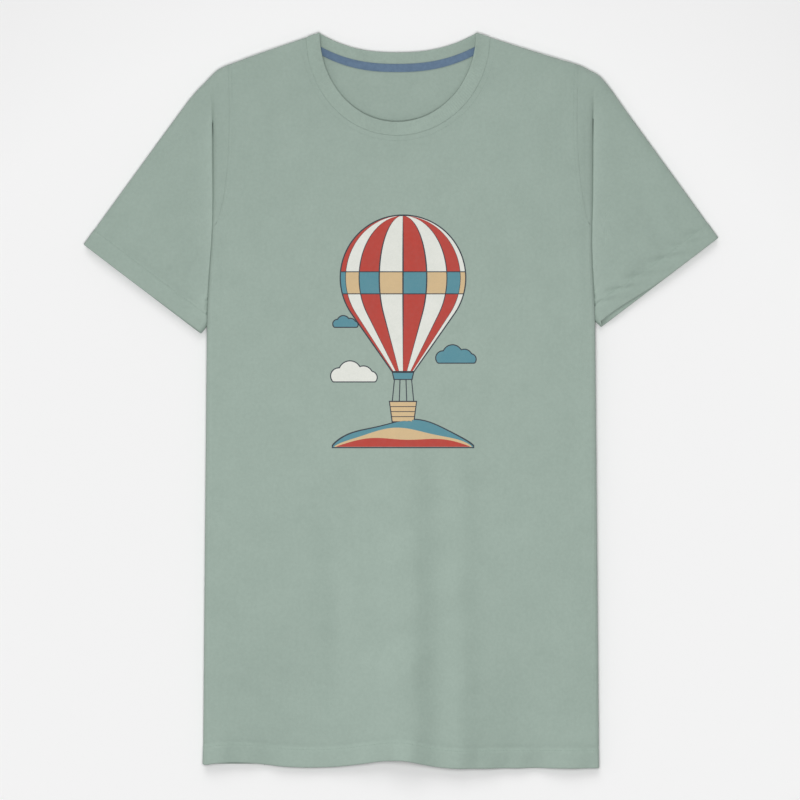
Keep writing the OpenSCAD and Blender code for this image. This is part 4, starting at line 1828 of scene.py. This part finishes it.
@dataclass
class ChestPrint:
    """A printed balloon over hills, in thin ink that follows the front."""

    middle: tuple[float, float] = (2.0, 72.0)
    radius: float = 62.0
    globe_y: float = 50.0
    mouth_y: float = -43.0
    tangent: float = -35.0
    gores: int = 8
    spacing: float = 4.0
    film: float = 0.025
    film_t: float = 0.03
    outline: float = 1.1
    gore_gap: float = 0.012
    belt: tuple[float, float] = (-16.0, 6.0)
    foot_y: float = -119.0

    CLOUDS = ((-50.0, -48.0, 15.0, "white"), (52.0, -30.0, 13.0, "teal"), (-58.0, 4.0, 8.0, "teal"))
    HUMPS = (
        (-0.95, 0.0, 0.5), (-0.2, 0.25, 0.72), (0.7, 0.05, 0.58), (1.2, -0.1, 0.38),
        (0.0, -0.1, 0.4),
    )

    def half_width(self, y: Array) -> Array:
        """Half width of the balloon.

        Args:
            y: Heights over the print's middle.

        Returns:
            Half widths in millimetres.
        """
        a = math.radians(self.tangent)
        low = np.array([self.radius * math.cos(a), self.globe_y + self.radius * math.sin(a)])
        globe = np.sqrt(np.maximum(0.0, self.radius**2 - (y - self.globe_y) ** 2))
        cone = low[0] + (y - low[1]) * math.tan(-a)
        return np.where(y >= low[1], globe, cone)

    def heights(self, low: float, high: float, n: int = 70) -> Array:
        """Heights between two, closer together at the upper end."""
        return low + (high - low) * np.sin(np.linspace(0.0, math.pi / 2, n))

    def gore(self, a: float, b: float, low: float, high: float) -> Array:
        """Outline of a strip of the balloon.

        Args:
            a: Turn of one edge round the balloon, in radians.
            b: Turn of the other edge.
            low: Height of its lower end.
            high: Height of its upper end.

        Returns:
            Points round it.
        """
        y = self.heights(low, high)
        w = self.half_width(y)
        left, right = np.stack([w * math.sin(a), y], -1), np.stack([w * math.sin(b), y], -1)
        return np.concatenate([right, left[::-1]])

    @staticmethod
    def bar(a: tuple[float, float], b: tuple[float, float], width: float) -> Array:
        """Outline of a straight bar.

        Args:
            a: Middle of one end.
            b: Middle of the other end.
            width: Its width.

        Returns:
            Its corners.
        """
        p, q = np.array(a), np.array(b)
        d = (q - p) / np.linalg.norm(q - p)
        n = np.array([-d[1], d[0]]) * width / 2.0
        return np.stack([p - n, q - n, q + n, p + n])

    @staticmethod
    def plate(top: float, upper: float, foot: float, lower: float) -> Array:
        """Outline of a plate that narrows evenly, from two heights and their half widths."""
        return np.array([(-upper, top), (upper, top), (lower, foot), (-lower, foot)])

    def cloud(self, x: float, y: float, size: float, grow: float = 0.0) -> Array:
        """Outline of a cloud with rounded humps and a flat foot.

        Args:
            x: Its place across the print.
            y: Its place up the print.
            size: Its size.
            grow: Width by which it is made larger all round.

        Returns:
            Points round it.
        """
        a = np.linspace(-math.pi, math.pi, 120, endpoint=False)
        ray = np.stack([np.cos(a), np.sin(a)], -1)
        reach = np.zeros_like(a)
        for cx, cy, r in self.HUMPS:
            c = np.array([cx, cy])
            along = ray @ c
            inside = along**2 - (c @ c) + (r + grow / size) ** 2
            far = along + np.sqrt(np.maximum(inside, 0.0))
            reach = np.maximum(reach, np.where(inside > 0.0, far, 0.0))
        p = ray * reach[:, None]
        p[:, 1] = np.maximum(p[:, 1], -0.36 - grow / size)
        return p * size + [x, y]

    def hill(self, top: float, rise: float, phase: float, grow: float = 0.0) -> Array:
        """Outline of a band of rolling hills across the foot of the print.

        Args:
            top: Height of the hills.
            rise: Height of their waves.
            phase: Phase of their waves.
            grow: Width by which the band is made larger all round.

        Returns:
            Points round it.
        """
        foot = self.foot_y
        x = np.linspace(-70.0 - grow, 70.0 + grow, 120)
        inside = np.maximum(0.0, 1.0 - (x / (70.5 + grow)) ** 2) ** 0.8
        y = foot + (top - foot + rise * np.sin(x / 15.0 + phase)) * inside + grow
        base = np.stack([x[::-1], np.full_like(x, foot - grow)], -1)
        return np.concatenate([np.stack([x, np.maximum(y, foot)], -1), base])

    def shapes(self) -> dict[str, list[tuple[int, Array]]]:
        """Outlines by ink, each with its place in the order of printing.

        Returns:
            For each ink a list of orders and outlines, in millimetres about the print's middle.
        """
        top, mouth, quarter = self.globe_y + self.radius, self.mouth_y, math.pi / 2
        belt = [self.globe_y + y for y in self.belt]
        turns = np.linspace(-quarter, quarter, self.gores + 1)
        names = ("dark", "red", "white", "teal", "sand")
        ink: dict[str, list[tuple[int, Array]]] = {name: [] for name in names}
        wide = ChestPrint(radius=self.radius + 1.3, mouth_y=mouth, globe_y=self.globe_y)
        ink["dark"].append((1, wide.gore(-quarter, quarter, mouth - 1.2, top + 1.25)))
        for k, (a, b) in enumerate(zip(turns[:-1] + self.gore_gap, turns[1:] - self.gore_gap)):
            panel, band = ("red", "teal") if k % 2 == 0 else ("white", "sand")
            ink[panel].append((2, self.gore(a, b, mouth, top - 0.4)))
            ink[band].append((3, self.gore(a, b, *belt)))
        ink["dark"] += [(4, self.gore(-1.55, 1.55, y - 0.5, y + 0.5)) for y in belt]
        low = mouth - 9.0
        ink["dark"].append((1, self.plate(mouth, 11.5, low, 9.5)))
        ink["teal"].append((2, self.plate(mouth - 2.0, 10.0, low + 1.0, 8.4)))
        rim, foot = low - 22.0, low - 42.0
        ropes = (-8.6, -3.0, 3.0, 8.6)
        ink["dark"] += [(1, self.bar((x, low), (1.25 * x, rim), 1.0)) for x in ropes]
        ink["dark"].append((1, self.plate(rim + 1.2, 14.2, foot - 1.2, 11.2)))
        for k in range(4):
            y, width = rim - 5.0 * k, 13.0 - 0.7 * k
            ink["sand"].append((2, self.plate(y, width, y - 4.2, width - 0.6)))
        for x, y, size, name in self.CLOUDS:
            ink["dark"].append((1, self.cloud(x, y, size, self.outline)))
            ink[name].append((2, self.cloud(x, y, size)))
        ink["dark"].append((1, self.hill(-94.0, 3.0, 0.4, self.outline)))
        ink["teal"].append((2, self.hill(-94.0, 3.0, 0.4)))
        ink["sand"].append((4, self.hill(-102.0, 2.4, 2.2) * [0.98, 1.0] + [0.0, 0.2]))
        ink["red"].append((6, self.hill(-110.0, 2.0, 4.4) * [0.95, 1.0] + [0.0, 0.3]))
        return ink

    def film_mesh(self, name: str, outlines: list[tuple[int, Array]]) -> bpy.types.Mesh:
        """Thin film over the front inside some outlines.

        Args:
            name: Name of the mesh.
            outlines: Orders of printing and outlines.

        Returns:
            The mesh, in metres.
        """
        points, faces, start = [], [], 0
        for order, outline in outlines:
            loop = self.even(outline)
            n = len(loop)
            low, high = loop.min(axis=0), loop.max(axis=0)
            steps = [np.arange(low[i], high[i], self.spacing) for i in (0, 1)]
            inner = np.stack([g.ravel() for g in np.meshgrid(*steps)], -1)
            verts = [Vector(p) for p in np.concatenate([loop, inner])]
            edges = [(k, (k + 1) % n) for k in range(n)]
            flat, _, tris, *_ = delaunay_2d_cdt(verts, edges, [list(range(n))], 1, 1e-5)
            plan = np.array([tuple(p) for p in flat]) + self.middle
            plan, tris = self.used(plan, [list(t) for t in tris])
            z = LAY.front_z(plan[:, 0], plan[:, 1]) + LAY.ply + 0.02 + self.film * order
            points.append(LAY.settle(np.stack([plan[:, 0], plan[:, 1], z], -1)))
            faces += [[start + i for i in t] for t in tris]
            start += len(plan)
        mesh = bpy.data.meshes.new(name)
        mesh.from_pydata((np.concatenate(points) * MM).tolist(), [], faces)
        smooth_sheet(mesh)
        return mesh

    @staticmethod
    def used(plan: Array, tris: list[list[int]]) -> tuple[Array, list[list[int]]]:
        """Points that the triangles use, with the triangles facing up.

        Args:
            plan: Points on the plan.
            tris: Triangles.

        Returns:
            The points and the triangles.
        """
        keep = sorted({i for t in tris for i in t})
        place = {i: k for k, i in enumerate(keep)}
        turned = []
        for a, b, c in tris:
            (x1, y1), (x2, y2) = plan[b] - plan[a], plan[c] - plan[a]
            turned.append([place[i] for i in ((a, b, c) if x1 * y2 > x2 * y1 else (a, c, b))])
        return plan[keep], turned

    @staticmethod
    def even(outline: Array, step: float = 2.0) -> Array:
        """Outline with points at most a step apart.

        Args:
            outline: Points round it.
            step: The longest step.

        Returns:
            More points round it.
        """
        result = []
        for p, q in zip(outline, np.roll(outline, -1, axis=0)):
            gap = float(np.linalg.norm(q - p))
            if gap < 1e-3:
                continue
            n = max(1, math.ceil(gap / step))
            result += [mix(p, q, k / n) for k in range(n)]
        return np.array(result)

    def build(self, finishes: Finishes) -> list[bpy.types.Object]:
        """Print every ink.

        Args:
            finishes: The shirt's materials.

        Returns:
            The pieces.
        """
        pieces = []
        for name, outlines in self.shapes().items():
            mesh = self.film_mesh(f"print_{name}", outlines)
            piece = add_piece(f"print_{name}", mesh, finishes.inks[name])
            thicken(piece, self.film_t, offset=-1.0)
            pieces.append(piece)
        return pieces


@dataclass
class Studio:
    """Pale floor, soft light and the camera over the shirt."""

    floor_grey: Colour = (244, 244, 244)
    camera_height: float = 3.2
    frame_width: float = 0.8
    sensor: float = 36.0
    fill: float = 0.325
    soft: float = 0.505
    key: float = 0.168
    side: float = 0.03
    lamp: tuple[float, float, float] = (-0.03, -0.12, 1.5)
    lamp_width: float = 0.5
    key_from: tuple[float, float, float] = (-8.0, 43.0, 34.0)
    side_from: tuple[float, float, float] = (-80.0, 35.0, 40.0)
    floor_half: float = 6.0
    floor_drop: float = 0.0002
    focus_height: float = 0.012
    camera_x: float = -0.001

    SQUARE = ((-1, -1), (1, -1), (1, 1), (-1, 1))

    def floor(self) -> None:
        """Lay the floor, with a grey that evens out the softbox's light."""
        corners = [(x * self.floor_half, y * self.floor_half, 0.0) for x, y in self.SQUARE]
        mesh = bpy.data.meshes.new("floor")
        mesh.from_pydata(corners, [], [(0, 1, 2, 3)])
        floor = hang("floor", mesh)
        floor.location.z = -self.floor_drop
        material, nodes, shader = new_material("floor_grey")
        place = nodes.add("ShaderNodeTexCoord").outputs["Object"]
        away = nodes.add("ShaderNodeVectorMath")
        away.operation = "DISTANCE"
        nodes.put(away.inputs[0], place)
        away.inputs[1].default_value = (self.lamp[0], self.lamp[1], 0.0)
        tilt = nodes.math("DIVIDE", away.outputs["Value"], self.lamp[2])
        near = nodes.math("POWER", nodes.math("MULTIPLY_ADD", tilt, tilt, 1.0), -2.0)
        level_now = nodes.math("MULTIPLY_ADD", near, self.soft, self.fill + self.key + self.side)
        grey = nodes.math("DIVIDE", linear(self.floor_grey)[0], level_now)
        grey = nodes.math("MINIMUM", grey, 0.97)
        tone = nodes.add("ShaderNodeCombineColor", Red=grey, Green=grey, Blue=grey)
        nodes.put(shader.inputs["Base Color"], tone.outputs[0])
        shader.inputs["Roughness"].default_value = 1.0
        shader.inputs["Specular IOR Level"].default_value = 0.0
        mesh.materials.append(material)

    def sun(self, name: str, share: float, azimuth: float, elevation: float, spread: float) -> None:
        """Hang a soft lamp that gives a level white surface a share of full white.

        Args:
            name: Name of the lamp.
            share: Share of full white.
            azimuth: Direction of the lamp on the plan, in degrees from +Y towards +X.
            elevation: Height of the lamp over the horizon, in degrees.
            spread: Angle over which the lamp is spread, in degrees.
        """
        lamp = bpy.data.lights.new(name, "SUN")
        lamp.energy = share * math.pi / math.sin(math.radians(elevation))
        lamp.angle = math.radians(spread)
        holder = hang(name, lamp)
        a, e = math.radians(azimuth), math.radians(elevation)
        to_lamp = Vector((math.sin(a) * math.cos(e), math.cos(a) * math.cos(e), math.sin(e)))
        holder.rotation_euler = to_lamp.to_track_quat("Z", "Y").to_euler()
        holder.location = to_lamp * 2.0

    def softbox(self) -> None:
        """Hang a round soft lamp that faces down."""
        lamp = bpy.data.lights.new("overhead", "AREA")
        lamp.shape, lamp.size = "DISK", self.lamp_width
        lamp.energy = self.soft * math.pi**2 * self.lamp[2] ** 2
        hang("overhead", lamp).location = self.lamp

    def world(self) -> None:
        """Fill from all round, and a pale backdrop for the camera."""
        world = bpy.data.worlds.new("studio")
        bpy.context.scene.world = world
        world.use_nodes = True
        nodes = Nodes(world.node_tree)
        out = next(n for n in world.node_tree.nodes if n.type == "OUTPUT_WORLD")
        fill = next(n for n in world.node_tree.nodes if n.type == "BACKGROUND")
        fill.inputs["Color"].default_value = (1.0, 1.0, 1.0, 1.0)
        fill.inputs["Strength"].default_value = self.fill
        seen = nodes.add("ShaderNodeBackground", Color=linear(self.floor_grey), Strength=1.0)
        ray = nodes.add("ShaderNodeLightPath")
        pick = nodes.tree.nodes.new("ShaderNodeMixShader")
        nodes.put(pick.inputs[0], ray.outputs["Is Camera Ray"])
        nodes.put(pick.inputs[1], fill.outputs[0])
        nodes.put(pick.inputs[2], seen.outputs[0])
        nodes.put(out.inputs["Surface"], pick.outputs[0])

    def camera(self) -> None:
        """Hang the camera straight over the shirt."""
        data = bpy.data.cameras.new("camera")
        data.sensor_width = self.sensor
        data.lens = self.sensor * (self.camera_height - self.focus_height) / self.frame_width
        data.clip_end = 50.0
        camera = hang("camera", data)
        camera.location = (self.camera_x, 0.0, self.camera_height)
        bpy.context.scene.camera = camera

    def build(self) -> None:
        """Set the whole studio up."""
        bpy.context.scene.view_settings.view_transform = "Standard"
        self.floor()
        self.world()
        self.softbox()
        self.sun("key", self.key, *self.key_from)
        self.sun("side", self.side, *self.side_from)
        self.camera()


@dataclass(frozen=True)
class Cut:
    """Flat sizes of a piece as it was cut, in metres and square metres."""

    width: float
    length: float
    area: float


def main() -> None:
    """Build the shirt and the studio round it."""
    logging.basicConfig(level=logging.INFO, format="%(message)s")
    Studio().build()
    finishes = Finishes()
    panels = [BodyPanel(Layer.FRONT), BodyPanel(Layer.BACK)]
    sleeves = [Sleeve(Side.LEFT), Sleeve(Side.RIGHT)]
    tape = NeckTape()
    front, back = (p.build(finishes) for p in panels)
    left, right = (s.build(finishes) for s in sleeves)
    Neckband().build(finishes)
    tape_piece = tape.build(finishes)
    beads = [SideSeam(side).build(finishes) for side in Side]
    hems, cuffs, neck, arms, tapes = Seams(StitchTree(), finishes).build(panels, sleeves, tape)
    prints = ChestPrint().build(finishes)


if __name__ == "__main__":
    main()
